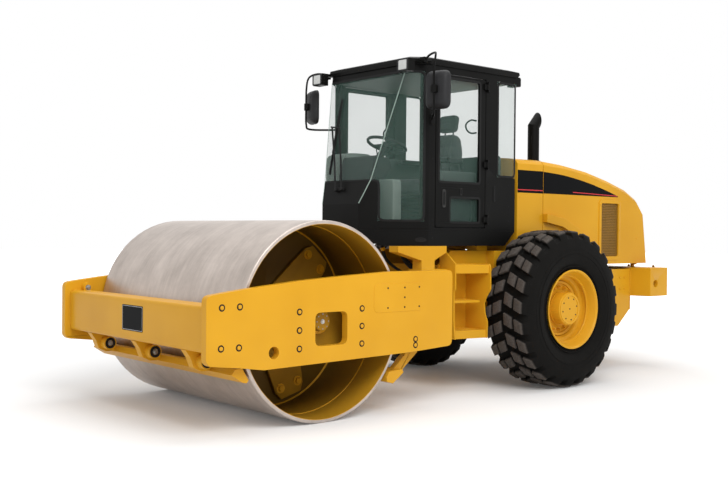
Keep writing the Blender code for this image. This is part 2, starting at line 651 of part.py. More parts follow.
def hitch():
    """The block on the steering pins, its oscillation spindle, and the forks of the two steering arms."""
    centre = (0, HITCH_Y, HITCH_Z)
    half_height, half_length = HITCH_HEIGHT / 2, HITCH_LENGTH / 2
    plan = [(x, HITCH_Y + y) for x, y in rectangle((-HITCH_HALF, HITCH_HALF), (-half_length, half_length))]
    block = prism(rounded(plan, 0.05), "z", HITCH_Z - half_height, HITCH_Z + half_height)
    pin_half = half_height + HITCH_LUG + HITCH_PIN_STAND
    pin = rod("z", centre, HITCH_PIN, -pin_half, pin_half)
    spindle = rod("y", centre, OSCILLATION_PIN, -HITCH_STANDOFF + BEARING_SPAN[0] + 0.03, 0)
    bearing_end = BEARING_SPAN[1] - HITCH_STANDOFF
    flange = rod("y", centre, BEARING_RADIUS - BITE, bearing_end + TOUCH, bearing_end + FLANGE_THICK)
    x, y = steer_eye()
    arm = rounded([(0.05, HITCH_Y - half_length + BITE), (x + 0.02, y - 0.045), (x + 0.045, y + 0.02),
                   (0.05, HITCH_Y + 0.09)],
                  0.03)
    forks = [prism(arm, "z", HITCH_Z + low, HITCH_Z + low + FORK_PLATE)
             for low in (-FORK_INSIDE - FORK_PLATE, FORK_INSIDE)]
    piece("hitch", "yellow", block, join(pin, spindle, flange, *both(*forks)), centre)


def steering_cylinders():
    """A barrel turns on each pin of the frame; its rod slides in it and ends in an eye in the fork."""
    eye_x, eye_y = steer_eye()
    pin_x, pin_y = CLEVIS_X, back(MID_BACK - CLEVIS_REACH)
    reach = math.hypot(eye_x - pin_x, eye_y - pin_y)
    along_x, along_y = (eye_x - pin_x) / reach, (eye_y - pin_y) / reach

    def aimed(shape):
        """A shape modelled along -Y from the origin, moved to the pin and turned to point at the eye."""
        points, faces = shape
        turned_points = [(pin_x - x * along_y - y * along_x, pin_y + x * along_x - y * along_y, z)
                         for x, y, z in points]
        return turned_points, faces

    middle = (0, 0, HITCH_Z)
    barrel = rod("y", middle, CYLINDER_RADIUS, ROD_SHOWING - reach, 0, 18)
    boss = rod("z", middle, CYLINDER_BOSS, -FORK_INSIDE + 0.005, FORK_INSIDE - 0.005, 20)
    hole = rod("z", middle, bore_radius(CLEVIS_PIN, 12), -2 * FORK_INSIDE, 2 * FORK_INSIDE, 12)
    bore = rod("y", middle, bore_radius(ROD_RADIUS, 16), -reach, -BORE_END, 16)
    flats = [box((-0.1, 0.1), (-0.05, 0.06), (HITCH_Z + low, HITCH_Z + high))
             for low, high in ((0.03, 0.2), (-0.2, -0.03))]
    pair("steering_barrel", "black", aimed(barrel),
         join(aimed(boss)) + cut(*map(aimed, (hole, bore, *flats))),
         (pin_x, pin_y, HITCH_Z))
    shaft = rod("y", middle, ROD_RADIUS, -reach, -ROD_END, 16)
    eye = rod("z", (0, -reach, HITCH_Z), 1.5 * ROD_RADIUS, -0.025, 0.025)
    pair("steering_rod", "chrome", aimed(shaft), join(aimed(eye)), (eye_x, eye_y, HITCH_Z))


def tyre_rows():
    """The tyre's section: rows of share of the half width, radius, and whether lugs stand to the next."""
    base, seat = TYRE_RADIUS - LUG_HEIGHT, RIM_RADIUS - RIM_LIP
    outer = [(0.62, seat, 0), (0.80, seat + 0.02, 0), (1.00, seat + 0.15, 0), (0.985, base - 0.085, 0),
             (0.93, base - 0.035, 1), (0.80, base - 0.008, 1), (0.50, base, 0), (0.42, base, 1),
             (0.06, base, 0)]
    lugs = [lug for share, radius, lug in outer]
    inner = [(-share, radius, lug) for (share, radius, old), lug in zip(reversed(outer), [*lugs[-2::-1], 0])]
    return [*outer, *inner]


def tyre():
    """A ring with two rows of lugs a side, staggered and skewed, each lug raised as a block with a draft."""
    half = TYRE_WIDTH / 2
    rows = tyre_rows()
    count, lines = len(rows), 2 * LUG_PITCHES
    pitch = 2 * math.pi / LUG_PITCHES
    shape = bmesh.new()
    verts = []
    for line in range(lines):
        for share, radius, lug in rows:
            turn = LUG_SHARE if share > 0 else 1 - LUG_SHARE
            angle = pitch * (line // 2 + line % 2 * turn + LUG_SKEW * abs(share))
            verts.append(shape.verts.new((share * half, radius * math.cos(angle), radius * math.sin(angle))))
    blocks = {}
    for line in range(lines):
        here, there = line * count, (line + 1) % lines * count
        for i, (share, radius, lug) in enumerate(rows):
            j = (i + 1) % count
            face = shape.faces.new([verts[k] for k in (here + i, here + j, there + j, there + i)])
            if lug and line % 2 == (0 if share > 0 else 1):
                middle = abs(share + rows[j][0]) / 2
                blocks.setdefault((line, share > 0, middle < 0.45), []).append(face)
    for block in blocks.values():
        grown = bmesh.ops.extrude_face_region(shape, geom=block)["geom"]
        bmesh.ops.delete(shape, geom=block, context="FACES_ONLY")
        tops = [element for element in grown if isinstance(element, bmesh.types.BMVert)]
        centre = sum((vertex.co for vertex in tops), Vector()) / len(tops)
        for vertex in tops:
            radius = math.hypot(vertex.co.y, vertex.co.z)
            shoulder = min(1.0, max(0.0, (half - abs(vertex.co.x)) / (0.2 * half)))
            place = vertex.co.lerp(centre, LUG_DRAFT)
            grow = (radius + LUG_HEIGHT * (0.35 + 0.65 * shoulder)) / math.hypot(place.y, place.z)
            vertex.co = (place.x, place.y * grow, place.z * grow)
    shape.verts.index_update()
    points = [tuple(vertex.co + Vector(WHEEL_CENTRE)) for vertex in shape.verts]
    faces = [tuple(vertex.index for vertex in face.verts) for face in shape.faces]
    shape.free()
    return points, faces


def wheels():
    """A lugged tyre on a deep dished rim with a hub drum, on each end of the axle."""
    pair("tyre", "rubber", tyre(), pivot=WHEEL_CENTRE)
    half = TYRE_WIDTH / 2
    well, ledge, edge = 0.62 * half, 0.80 * half, half - 0.025
    inside_chord = math.cos(math.pi / LUG_PITCHES * max(LUG_SHARE, 1 - LUG_SHARE))
    seat = (RIM_RADIUS - RIM_LIP) * inside_chord - 2 * TOUCH
    # Radius, and place outwards from the tyre's middle: hub inside, dish, well, lip, dish outside, hub drum
    profile = [(0, -HUB_SETBACK), (0.15, -HUB_SETBACK), (0.15, 0.01), (0.24, 0.035), (seat - 0.02, 0.035),
               (seat - 0.02, -well + 0.002), (seat, -well + 0.002), (seat, well - 0.002),
               (seat + 0.014, ledge), (RIM_RADIUS - 0.006, edge - 0.008), (RIM_RADIUS, edge),
               (RIM_RADIUS - 0.022, edge), (seat - 0.022, well - 0.01), (seat - 0.035, 0.072),
               (seat - 0.06, 0.060), (HUB_RADIUS + 0.03, 0.060), (HUB_RADIUS, 0.080),
               (HUB_RADIUS, 0.195), (HUB_RADIUS - 0.01, 0.20), (0, 0.20)]
    pair("rim", "yellow", turned(profile, "x", WHEEL_CENTRE, RIM_STEPS), pivot=WHEEL_CENTRE)


def rear_axle():
    """The axle housing with its differential bulge, ending in a hub flange inside each rim."""
    end = TRACK_HALF - HUB_SETBACK - TOUCH
    half = [(DIFFERENTIAL_RADIUS, 0.08), (0.17, 0.20), (AXLE_RADIUS, 0.28), (AXLE_RADIUS, end - 0.16),
            (AXLE_FLANGE, end - 0.12), (AXLE_FLANGE, end - 0.02), (0.13, end), (0, end)]
    profile = [*((radius, -along) for radius, along in reversed(half)), *half]
    piece("axle_housing", "black", turned(profile, "x", (0, AXLE_Y, TYRE_RADIUS), 20))


def rear_frame():
    """Side webs, bulkheads, hitch lugs, cab mounts, cross beams and cylinder clevises, welded into one."""
    nose_in, tail_in = NOSE_HALF - WEB, TAIL_HALF - WEB
    lug_top = HITCH_HEIGHT / 2 + HITCH_LUG_GAP
    axle_beam = TYRE_RADIUS + AXLE_RADIUS + BEAM_SECTION
    bulkhead = box((-NOSE_HALF, NOSE_HALF), (back(NOSE_BACK), back(NOSE_BACK + PLATE)), (FRAME_LOW, NOSE_TOP))
    nose_window = box((NOSE_WINDOW_INSET - NOSE_HALF, NOSE_HALF - NOSE_WINDOW_INSET),
                      (back(NOSE_BACK - BITE), back(NOSE_BACK + PLATE + BITE)),
                      (HITCH_Z - lug_top + BITE, HITCH_Z + lug_top - BITE))
    middle = box((-TAIL_HALF, TAIL_HALF), (back(MID_BACK), back(MID_BACK + PLATE)),
                 (FRAME_LOW + 0.06, FRAME_TOP))
    middle_window = box((-0.30, 0.30), (back(MID_BACK - BITE), back(MID_BACK + PLATE + BITE)),
                        (FRAME_LOW + 0.37, FRAME_TOP - 0.08))
    lug_bore = rod("z", (0, HITCH_Y, HITCH_Z), bore_radius(HITCH_PIN), -HITCH_HEIGHT, HITCH_HEIGHT)

    nose_web = [(NOSE_BACK + 0.001, FRAME_LOW), (MID_BACK + PLATE - BITE, FRAME_LOW),
                (MID_BACK + PLATE - BITE, FRAME_TOP), (NOSE_BACK + 0.15, FRAME_TOP),
                (NOSE_BACK + 0.001, NOSE_TOP)]
    arch_low, arch_top = FRAME_LOW + 0.06, TYRE_RADIUS + 0.16
    tail_web = [(MID_BACK + 0.001, arch_low), (AXLE_BACK - 0.30, arch_low), (AXLE_BACK - 0.20, arch_top),
                (AXLE_BACK + 0.20, arch_top), (AXLE_BACK + 0.30, FRAME_LOW - 0.02),
                (TAIL_BACK - 0.21, FRAME_LOW - 0.03), (TAIL_BACK, FRAME_LOW + 0.14),
                (TAIL_BACK, TAIL_TOP), (HOOD_FRONT, TAIL_TOP),
                (HOOD_FRONT - 0.06, FRAME_TOP), (MID_BACK + 0.001, FRAME_TOP)]
    rail = box((tail_in - 0.07, TAIL_HALF - 0.002), (back(HOOD_FRONT + 0.02), back(TAIL_BACK - 0.002)),
               (TAIL_TOP - 0.02, TAIL_TOP - 0.001))
    sides = [prism(backs(nose_web), "x", nose_in, NOSE_HALF), prism(backs(tail_web), "x", tail_in, TAIL_HALF),
             rail]

    # Cab mounts: a T-shaped bracket in front, on an arm from the nose, and a post behind
    arm = box((nose_in - 0.005, CAB_HALF - 0.03), (back(B_POST - 0.09), back(NOSE_BACK + BITE)),
              (NOSE_TOP - 0.13, NOSE_TOP - 0.03))
    seat = SKIRT_LOW - TOUCH
    bracket = [(B_POST - 0.09, NOSE_TOP - 0.09), (B_POST + 0.07, NOSE_TOP - 0.09),
               (B_POST + 0.07, seat - 0.127), (B_POST + 0.22, seat - 0.057), (B_POST + 0.22, seat),
               (B_POST - 0.372, seat), (B_POST - 0.372, seat - 0.052), (B_POST - 0.09, seat - 0.127)]
    post = box((NOSE_HALF - POST_INSET, NOSE_HALF - BITE),
               (back(MID_BACK - 0.12), back(MID_BACK + PLATE - BITE)),
               (FRAME_TOP - 0.10, CAB_FLOOR - FLOOR_THICK - TOUCH))
    sides += [arm, prism(backs(bracket), "x", CAB_HALF - 0.105, CAB_HALF + 0.01), post]

    # Clevises for the steering cylinders' pins, and saddles on which the axle housing is bolted
    pin_y = back(MID_BACK - CLEVIS_REACH)
    for low in (-FORK_INSIDE - FORK_PLATE, FORK_INSIDE):
        sides.append(box((CLEVIS_X - 0.05, CLEVIS_X + 0.05), (pin_y - 0.035, back(MID_BACK + BITE)),
                         (HITCH_Z + low, HITCH_Z + low + FORK_PLATE)))
    sides.append(rod("z", (CLEVIS_X, pin_y, HITCH_Z), CLEVIS_PIN,
                     -FORK_INSIDE - BITE, FORK_INSIDE + BITE, 12))
    sides.append(box((TAIL_HALF - SADDLE_INSET, tail_in + 0.005),
                     (AXLE_Y - SADDLE_HALF, AXLE_Y + SADDLE_HALF),
                     (TYRE_RADIUS + AXLE_RADIUS + TOUCH, axle_beam + 0.05)))

    across = []
    for low in (HITCH_Z - lug_top - HITCH_LUG, HITCH_Z + lug_top):
        lug = [(-0.13, -0.12), (-0.13, 0.12), (NOSE_REACH + BITE, 0.26), (NOSE_REACH + BITE, -0.26)]
        nose = rounded(backs(lug, HITCH_BACK), 0.06)
        across.append(prism([(x, y) for y, x in nose], "z", low, low + HITCH_LUG))
    across.append(box((-nose_in - BITE, nose_in + BITE), (back(NOSE_BACK + BITE), back(MID_BACK + BITE)),
                      (FRAME_LOW + 0.001, FRAME_LOW + 0.02)))
    beams = ((AXLE_BACK - 0.32, axle_beam), (AXLE_BACK + 0.26, axle_beam),
             (HOOD_FRONT + 0.33, ENGINE_BEAM_LOW),
             (HOOD_FRONT + 1.16, ENGINE_BEAM_LOW))
    for place, low in beams:
        across.append(box((-tail_in - BITE, tail_in + BITE), (back(place), back(place + BEAM_SECTION)),
                          (low, low + BEAM_SECTION)))
    across.append(box((-TAIL_HALF, TAIL_HALF), (back(TAIL_BACK - PLATE), back(TAIL_BACK)),
                      (FRAME_LOW + 0.14, TAIL_TOP)))
    piece("rear_frame", "yellow", bulkhead, join(middle, *both(*sides), *across) + cut(nose_window,
            middle_window, lug_bore))


def bumper():
    """The heavy cross bar behind the frame, with slanted shoulders, end holes and the hood's hinge ears."""
    shoulder = TAIL_BACK + BUMPER_SHOULDER
    plan = [(-TAIL_HALF, TAIL_BACK + TOUCH), (TAIL_HALF, TAIL_BACK + TOUCH), (BUMPER_HALF, shoulder),
            (BUMPER_HALF, REAR_REACH),
            (-BUMPER_HALF, REAR_REACH), (-BUMPER_HALF, shoulder)]
    bar = prism([(x, back(distance)) for x, distance in plan], "z", BUMPER_LOW, BUMPER_TOP)
    hole = rod("x", (0, back(shoulder + 0.10), BUMPER_TOP - 0.171), BUMPER_HOLE, BUMPER_HALF - 0.10,
               BUMPER_HALF + OVERRUN, 20)
    ears = []
    for x in EAR_PLACES:
        ears.append(rod("x", (x, *HOOD_PIVOT[1:]), HOOD_EAR, 0, EAR_THICK, 16))
        ears.append(box((x, x + EAR_THICK), (HOOD_PIVOT[1] - HOOD_EAR, HOOD_PIVOT[1] + HOOD_EAR),
                        (BUMPER_TOP - BITE, HOOD_PIVOT[2])))
    ear_out = EAR_PLACES[1] + EAR_THICK
    pin = rod("x", HOOD_PIVOT, HOOD_PIN, ear_out - BITE, ear_out + EAR_THICK + BITE, 12)
    piece("rear_bumper", "yellow", bar, join(*ears, *both(pin)) + cut(*both(hole)))


def steps():
    """Boarding steps: a front and a rear plate with three treads between them, on each side of the nose."""
    inner, foot = NOSE_HALF + TOUCH, FRAME_LOW - 0.003
    start = NOSE_BACK + 0.012
    length = AXLE_BACK - TYRE_RADIUS - STEP_CLEARANCE - start
    front, rear = ([(inner + out, foot + height) for out, height in plate]
                   for plate in (FRONT_STEP_PLATE, REAR_STEP_PLATE))
    treads = []
    for bottom, top, share, front_out, rear_out in TREADS:
        plan = [(inner, back(start + 0.005)), (inner + front_out, back(start + 0.005)),
                (inner + rear_out, back(start + length * share)), (inner, back(start + length * share))]
        treads.append(prism(plan, "z", foot + bottom, foot + top))
    rear_plate = prism(rear, "y", back(start + length - STEP_PLATE), back(start + length))
    pair("step", "yellow", prism(front, "y", back(start), back(start + STEP_PLATE)),
         join(rear_plate, *treads))


def cab_ahead(height):
    """How far the cab's front face stands ahead of the B post at a height, on the table's lines."""
    rise = height - CAB_FLOOR
    for (low, near), (high, far) in zip(CAB_FRONT, CAB_FRONT[1:]):
        if rise <= high:
            break
    return near + (far - near) * (rise - low) / (high - low)


def cab_plan(height, inset):
    """The cab's plan at a height: flat sides, slanted front corners and a narrow front, set in by a wall."""
    slant = math.radians(CAB_SLANT)
    cosine, sine = math.cos(slant), math.sin(slant)
    side = CAB_HALF - inset
    nose = B_POST - cab_ahead(height) + inset
    corner = B_POST + inset * sine - inset * (1 - cosine) * cosine / sine
    run = (B_POST + inset * sine - nose) / cosine
    nose_half = CAB_HALF - inset * cosine - run * sine
    left = [(side, back(CAB_REAR - inset), height), (side, back(corner), height),
            (nose_half, back(nose), height)]
    return left + [(-x, y, z) for x, y, z in reversed(left)]


def slanted(outline):
    """A flat pane in the cab's slanted corner wall, from an outline of (distance back, height)."""
    slant = math.radians(CAB_SLANT)
    rings = []
    for depth in (0.0, GLASS):
        rings.append([(CAB_HALF - (B_POST - distance) * math.tan(slant) - depth / math.cos(slant),
                       back(distance), height)
                      for distance, height in outline])
    return loft(rings)


def hinge_line():
    """World x and y of the left door's hinge line, just outside the rear post."""
    return CAB_HALF + HINGE_STAND, back(DOOR_REAR + HINGE_SETBACK)


def cab_shell():
    """The cab's base, frame and roof."""
    base = loft([cab_plan(height, 0.0) for height in (SKIRT_LOW, CAB_FLOOR - TOUCH)])
    hollow = loft([cab_plan(height, PLATE) for height in (SKIRT_LOW - OVERRUN, CAB_FLOOR - FLOOR_THICK)])
    chin = prism(backs(CHIN, B_POST - CAB_FRONT[0][1], SKIRT_LOW), "x", -CAB_HALF - OVERRUN,
                 CAB_HALF + OVERRUN)
    heel = prism(backs(HEEL, CAB_REAR, SKIRT_LOW), "x", -CAB_HALF - OVERRUN, CAB_HALF + OVERRUN)
    piece("cab_base", "black", base, cut(hollow, chin, heel))

    outer = loft([cab_plan(CAB_FLOOR + rise, 0.0) for rise, ahead in CAB_FRONT])
    heights = [CAB_FLOOR - OVERRUN, *(CAB_FLOOR + rise for rise, ahead in CAB_FRONT[1:-1]), CAB_TOP + OVERRUN]
    inner = loft([cab_plan(height, CAB_WALL) for height in heights])
    wide = (-CAB_HALF - OVERRUN, CAB_HALF + OVERRUN)
    post, nose = back(B_POST - POST_OVERLAP), back(B_POST - CAB_FRONT[0][1] - OVERRUN)
    windows = [box(wide, (nose, post), (WAIST, HEAD_RAIL)),
               box(wide, (back(B_POST - FRONT_PANEL_AHEAD), post), (SILL_GLASS, WAIST + BITE)),
               box(wide, (back(DOOR_FRONT), back(DOOR_REAR)), (DOOR_LOW, HEAD_RAIL)),
               box(wide, (back(C_POST_END), back(CAB_REAR + OVERRUN)), (REAR_WAIST, HEAD_RAIL))]
    knuckles = []
    x, y = hinge_line()
    for rise in HINGE_RISES:
        for low in (-KNUCKLE_LENGTH / 2 - FRAME_KNUCKLE, KNUCKLE_LENGTH / 2 + TOUCH):
            span = (CAB_FLOOR + rise + low, CAB_FLOOR + rise + low + FRAME_KNUCKLE - TOUCH)
            knuckles.append(rod("z", (x, y, 0), KNUCKLE_RADIUS, *span, 12))
            knuckles.append(box((CAB_HALF - BITE, x), (y + 0.001, y + PLATE), span))
    piece("cab_frame", "black", outer, join(*both(*knuckles)) + cut(inner, *windows))

    rings = [[(x, y, CAB_TOP + rise) for x, y, z in cab_plan(CAB_TOP, -over)] for rise, over in ROOF]
    lamps = []
    for start, table in ((B_POST, FRONT_LAMP), (CAB_REAR, REAR_LAMP)):
        for across, along, up in table:
            lamps.append(box([CAB_HALF + out for out in across], [back(start + place) for place in along],
                             [CAB_TOP + rise for rise in up]))
    piece("cab_roof", "black", loft(rings), join(*both(*lamps)))


def cab_glass():
    """The fixed panes, each flush with the cab's outside."""
    low, top = WAIST + TOUCH, HEAD_RAIL - TOUCH
    rings = []
    for depth in (0.0, GLASS):
        rings.append([(sign * (cab_plan(height, 0.0)[2][0] - TOUCH), back(B_POST - cab_ahead(height) + depth),
                       height)
                      for height, sign in ((low, 1), (low, -1), (top, -1), (top, 1))])
    piece("windscreen", "glass", loft(rings))
    post, panel = B_POST - POST_OVERLAP - TOUCH, B_POST - FRONT_PANEL_AHEAD + TOUCH
    edge = B_POST + GLASS + 0.003
    sill = SILL_GLASS + TOUCH
    pair("corner_glass", "glass", slanted([(post, sill), (post, top), (edge - cab_ahead(top), top),
                                           (edge - cab_ahead(low), low),
                                           (panel, low), (panel, sill)]))
    rear_low = REAR_WAIST + TOUCH
    pair("quarter_glass", "glass", box((CAB_HALF - GLASS, CAB_HALF),
                                       (back(C_POST_END + TOUCH), back(CAB_REAR - GLASS - TOUCH)),
                                       (rear_low, top)))
    piece("rear_glass", "glass", box((-CAB_HALF, CAB_HALF), (back(CAB_REAR - GLASS), back(CAB_REAR)),
                                     (rear_low, top)))


def doors():
    """A framed door on each side, with two windows, a pane behind them, and hinge knuckles at the rear."""
    low, top = DOOR_LOW + PANEL_GAP, HEAD_RAIL - PANEL_GAP
    front, rear = DOOR_FRONT + DOOR_GAP, DOOR_REAR - DOOR_GAP
    inner = CAB_HALF - DOOR_THICK
    slab = prism(rounded(backs(rectangle((front, rear), (low, top))), 0.02), "x", inner, CAB_HALF)
    spans = ((low + 0.042, WAIST - DOOR_RAIL), (WAIST, top - 0.03))
    windows = [prism(rounded(backs(rectangle((front + 0.04, rear - 0.07), span)), 0.03), "x", inner - BITE,
                     CAB_HALF + BITE)
               for span in spans]
    x, y = hinge_line()
    half = KNUCKLE_LENGTH / 2 - TOUCH
    hinges = []
    for rise in HINGE_RISES:
        span = (CAB_FLOOR + rise - half, CAB_FLOOR + rise + half)
        hinges.append(rod("z", (x, y, 0), KNUCKLE_RADIUS, *span, 12))
        hinges.append(box((CAB_HALF - BITE, x), (back(rear - 0.03), back(rear)), span))
        hinges.append(box((CAB_HALF + 0.001, x), (back(rear - 0.02), y - 0.001), span))
    pivot = (x, y, DOOR_LOW)
    pair("door", "black", slab, join(*hinges) + cut(*windows), pivot)
    pane = rounded(backs(rectangle((front + 0.02, rear - 0.05), (low + 0.022, top - 0.014))), 0.03)
    pair("door_glass", "glass", prism(pane, "x", inner - TOUCH - GLASS, inner - TOUCH), pivot=pivot)


def cab_inside():
    """The seat on its base, and the console with the steering wheel."""
    def seat_part(outline, half, lift=0.0, push=0.0, radius=0.03):
        """A rounded side outline extruded evenly to both sides of the middle."""
        return prism(rounded(backs(outline, B_POST + push, CAB_FLOOR + lift), radius), "x", -half, half)

    piece("seat_base", "black", seat_part(PEDESTAL, PEDESTAL_HALF, radius=0.02))
    piece("seat_cushion", "fabric", seat_part(CUSHION, SEAT_HALF, TOUCH))
    arm = prism(rounded(backs(ARMREST, B_POST, CAB_FLOOR), 0.02), "x", *ARMREST_SPAN)
    piece("seat_back", "fabric", seat_part(BACKREST, BACKREST_HALF, TOUCH, TOUCH),
          join(seat_part(HEADREST, HEADREST_HALF), *both(arm)))

    slope = math.radians(STEERING_SLOPE)
    hub = Vector((0, back(B_POST + STEERING_HUB[0]), CAB_FLOOR + STEERING_HUB[1]))
    tube_turns = [math.pi * i / 3 for i in range(6)]
    rim = turned([(STEERING_RADIUS + STEERING_TUBE * math.cos(turn), STEERING_TUBE * math.sin(turn))
                  for turn in tube_turns],
                 "z", (0, 0, 0), 20)
    spokes = box((-STEERING_RADIUS, STEERING_RADIUS), (-STEERING_SPOKE, STEERING_SPOKE),
                 (-STEERING_SPOKE / 2, STEERING_SPOKE / 2))
    boss = rod("z", (0, 0, 0), STEERING_BOSS, -2 * STEERING_TUBE, STEERING_TUBE, 14)
    wheel = []
    for points, faces in (rim, spokes, boss):
        tilted = [(hub.x + x, hub.y + y * math.cos(slope) + z * math.sin(slope),
                   hub.z - y * math.sin(slope) + z * math.cos(slope))
                  for x, y, z in points]
        wheel.append((tilted, faces))
    column = tube([(0, back(B_POST + COLUMN_FOOT[0]), CAB_FLOOR + COLUMN_FOOT[1]),
                   (0, hub.y, hub.z - STEERING_TUBE)],
                  COLUMN_RADIUS, 10)
    piece("steering_console", "black", seat_part(DASH, DASH_HALF), join(column, *wheel))


def hood_section(distance, crown, inset, low, lean=0.0):
    """The engine cover's section: flat sides, small shoulders and a nearly flat crown.

    It stands at a distance back, and leans rearwards towards its foot by a share of the fall in height.
    """
    half, top = HOOD_HALF - inset, crown - inset
    left = [(half, low), (half, top - 0.055), (half - 0.025, top - 0.022), (half - 0.09, top - 0.004),
            (half * 0.45, top + 0.018)]
    outline = left + [(-x, z) for x, z in reversed(left)]
    return [(x, back(distance) + lean * (crown - z), z) for x, z in outline]


def hood_skin(start, inset, low):
    """A solid through the crown's table from a distance back to the leaning tail."""
    rings = [hood_section(start, CROWN_TOP, inset, low)]
    rings += [hood_section(HOOD_FRONT + distance, CROWN_TOP - drop, inset, low)
              for distance, drop in CROWN[1:-1]]
    distance, drop = CROWN[-1]
    return loft([*rings, hood_section(HOOD_FRONT + distance - inset, CROWN_TOP - drop, inset, low,
                                      TAIL_LEAN)])


def hood():
    """The tilting engine hood: crowned shell, wheel arches, beaded grille frames, hinge ears and flares."""
    outer = hood_skin(HOOD_FRONT, 0.0, HOOD_LOW)
    hollow = hood_skin(HOOD_FRONT - OVERRUN, HOOD_WALL, HOOD_LOW - OVERRUN)
    wide = (-HOOD_HALF - OVERRUN, HOOD_HALF + OVERRUN)
    front = HOOD_FRONT - AXLE_BACK
    arch = [(front - 0.1, 0.26), *ARCH, (front, ARCH_FRONT_HEIGHT), (front - 0.1, ARCH_FRONT_HEIGHT + 0.02)]
    upper, lower = FLARE_FRONT_HEIGHTS
    flare = [(front, lower), *FLARE, (front, upper)]
    sill, start = HOOD_LOW + GRILLE_RISE, HOOD_FRONT + GRILLE_SETBACK
    opening = rectangle((start, start + GRILLE_LENGTH), (sill, sill + GRILLE_HEIGHT))
    frame = rectangle((start - GRILLE_BEAD, start + GRILLE_LENGTH + GRILLE_BEAD),
                      (sill - GRILLE_BEAD, sill + GRILLE_HEIGHT + GRILLE_BEAD))
    bead = prism(rounded(backs(frame), 0.05), "x", HOOD_HALF - BITE, HOOD_HALF + GRILLE_BEAD_STAND)
    arch_hole = prism(backs(arch, AXLE_BACK, TYRE_RADIUS), "x", *wide)
    side_hole = prism(rounded(backs(opening), 0.02), "x", *wide)
    rear_hole = box((-REAR_GRILLE_HALF, REAR_GRILLE_HALF),
                    (back(HOOD_FRONT + HOOD_TO_TAIL), back(REAR_REACH)),
                    tuple(HOOD_LOW + rise for rise in REAR_GRILLE_RISES))
    stack_hole = rod("z", (EXHAUST_X, back(HOOD_FRONT + EXHAUST_SETBACK), CROWN_TOP),
                     bore_radius(EXHAUST_RADIUS, 20),
                     -0.2, 0.2, 20)
    y, z = HOOD_PIVOT[1:]
    wall = y - HOOD_PIN_SETBACK - HOOD_WALL / 2
    ears = []
    for low in (-EAR_PLACES[1] - 2 * EAR_THICK - TOUCH, EAR_PLACES[1] + EAR_THICK + TOUCH):
        ears.append(rod("x", (low, y, z), HOOD_EAR, 0, EAR_THICK, 16))
        ears.append(prism([(wall, z + 0.006), (y, z - HOOD_EAR), (y + 0.012, z + 0.014),
                           (wall - 0.012, z + 0.085)], "x", low,
                          low + EAR_THICK))
    pin_hole = rod("x", HOOD_PIVOT, bore_radius(HOOD_PIN, 12), -HOOD_HALF, HOOD_HALF, 12)
    piece("hood", "yellow", outer,
          join(*both(bead)) + cut(hollow, arch_hole, side_hole, rear_hole, stack_hole) + join(*ears)
          + cut(pin_hole), HOOD_PIVOT)
    pair("hood_flare", "yellow",
         prism(backs(flare, AXLE_BACK, TYRE_RADIUS), "x", HOOD_HALF + TOUCH, HOOD_HALF + FLARE_STAND),
         pivot=HOOD_PIVOT)


def hood_grilles():
    """Side panels flush with their frames, and a louvred panel in the tail; all tilt with the hood."""
    sill, start = HOOD_LOW + GRILLE_RISE, HOOD_FRONT + GRILLE_SETBACK
    outline = rectangle((start + TOUCH, start + GRILLE_LENGTH - TOUCH),
                        (sill + TOUCH, sill + GRILLE_HEIGHT - TOUCH))
    face = HOOD_HALF - GRILLE_INSET
    pair("side_grille", "mesh", prism(rounded(backs(outline), 0.02), "x", face - GRILLE_THICK, face),
         pivot=HOOD_PIVOT)

    distance, drop = CROWN[-1]
    low, high = (HOOD_LOW + rise + sign * TOUCH for rise, sign in zip(REAR_GRILLE_RISES, (1, -1)))
    blade = (high - low) / LOUVRES

    def tail_face(height, depth):
        """World y and z of a point a depth behind the tail's leaning face."""
        return back(HOOD_FRONT + distance + TAIL_LEAN * (CROWN_TOP - drop - height) - depth), height

    louvres = [tail_face(low, 0.026), tail_face(high, 0.026)]
    for number in reversed(range(LOUVRES)):
        louvres += [tail_face(low + (number + 1) * blade, 0.004),
                    tail_face(low + (number + 0.35) * blade, 0.018)]
    louvres.append(tail_face(low, 0.006))
    piece("rear_grille", "black", prism(louvres, "x", -REAR_GRILLE_HALF + TOUCH, REAR_GRILLE_HALF - TOUCH),
          pivot=HOOD_PIVOT)


def engine_end():
    """Fixed cowl behind the cab, exhaust stack, and the engine between the frame's beams."""
    cowl_low, cowl_end = FRAME_TOP + TOUCH, HOOD_FRONT - PANEL_GAP
    outer = loft([hood_section(distance, CROWN_TOP, 0.0, cowl_low) for distance in (COWL_FRONT, cowl_end)])
    inner = loft([hood_section(distance, CROWN_TOP, HOOD_WALL, cowl_low - OVERRUN)
                  for distance in (COWL_FRONT + HOOD_WALL, cowl_end + OVERRUN)])
    piece("engine_cowl", "yellow", outer, cut(inner))
    stack = [(EXHAUST_X, back(HOOD_FRONT + EXHAUST_SETBACK + distance), CROWN_TOP + height)
             for distance, height in EXHAUST_PATH]
    piece("exhaust", "black", tube(stack, EXHAUST_RADIUS, 20), pivot=HOOD_PIVOT)
    section = rectangle((-ENGINE_HALF, ENGINE_HALF),
                        (ENGINE_BEAM_LOW + BEAM_SECTION + TOUCH, HOOD_LOW + ENGINE_RISE))
    piece("engine_block", "iron", prism(rounded(section, 0.06), "y",
                                        *(back(HOOD_FRONT + place) for place in ENGINE_BACKS)))


def mirrors():
    """A mirror head on a bent tube that runs from the corner post to the roof's brim."""
    path = [(CAB_HALF + out, back(B_POST + distance), CAB_TOP + height) for out, distance,
            height in MIRROR_PATH]
    outline = rectangle([CAB_HALF + out for out in MIRROR_OUT],
                        [CAB_TOP + height for height in MIRROR_HEIGHTS])
    head = prism(rounded(outline, 0.06), "y", *(back(B_POST + distance) for distance in MIRROR_BACKS))
    pair("mirror", "black", tube(path, MIRROR_TUBE), join(head))


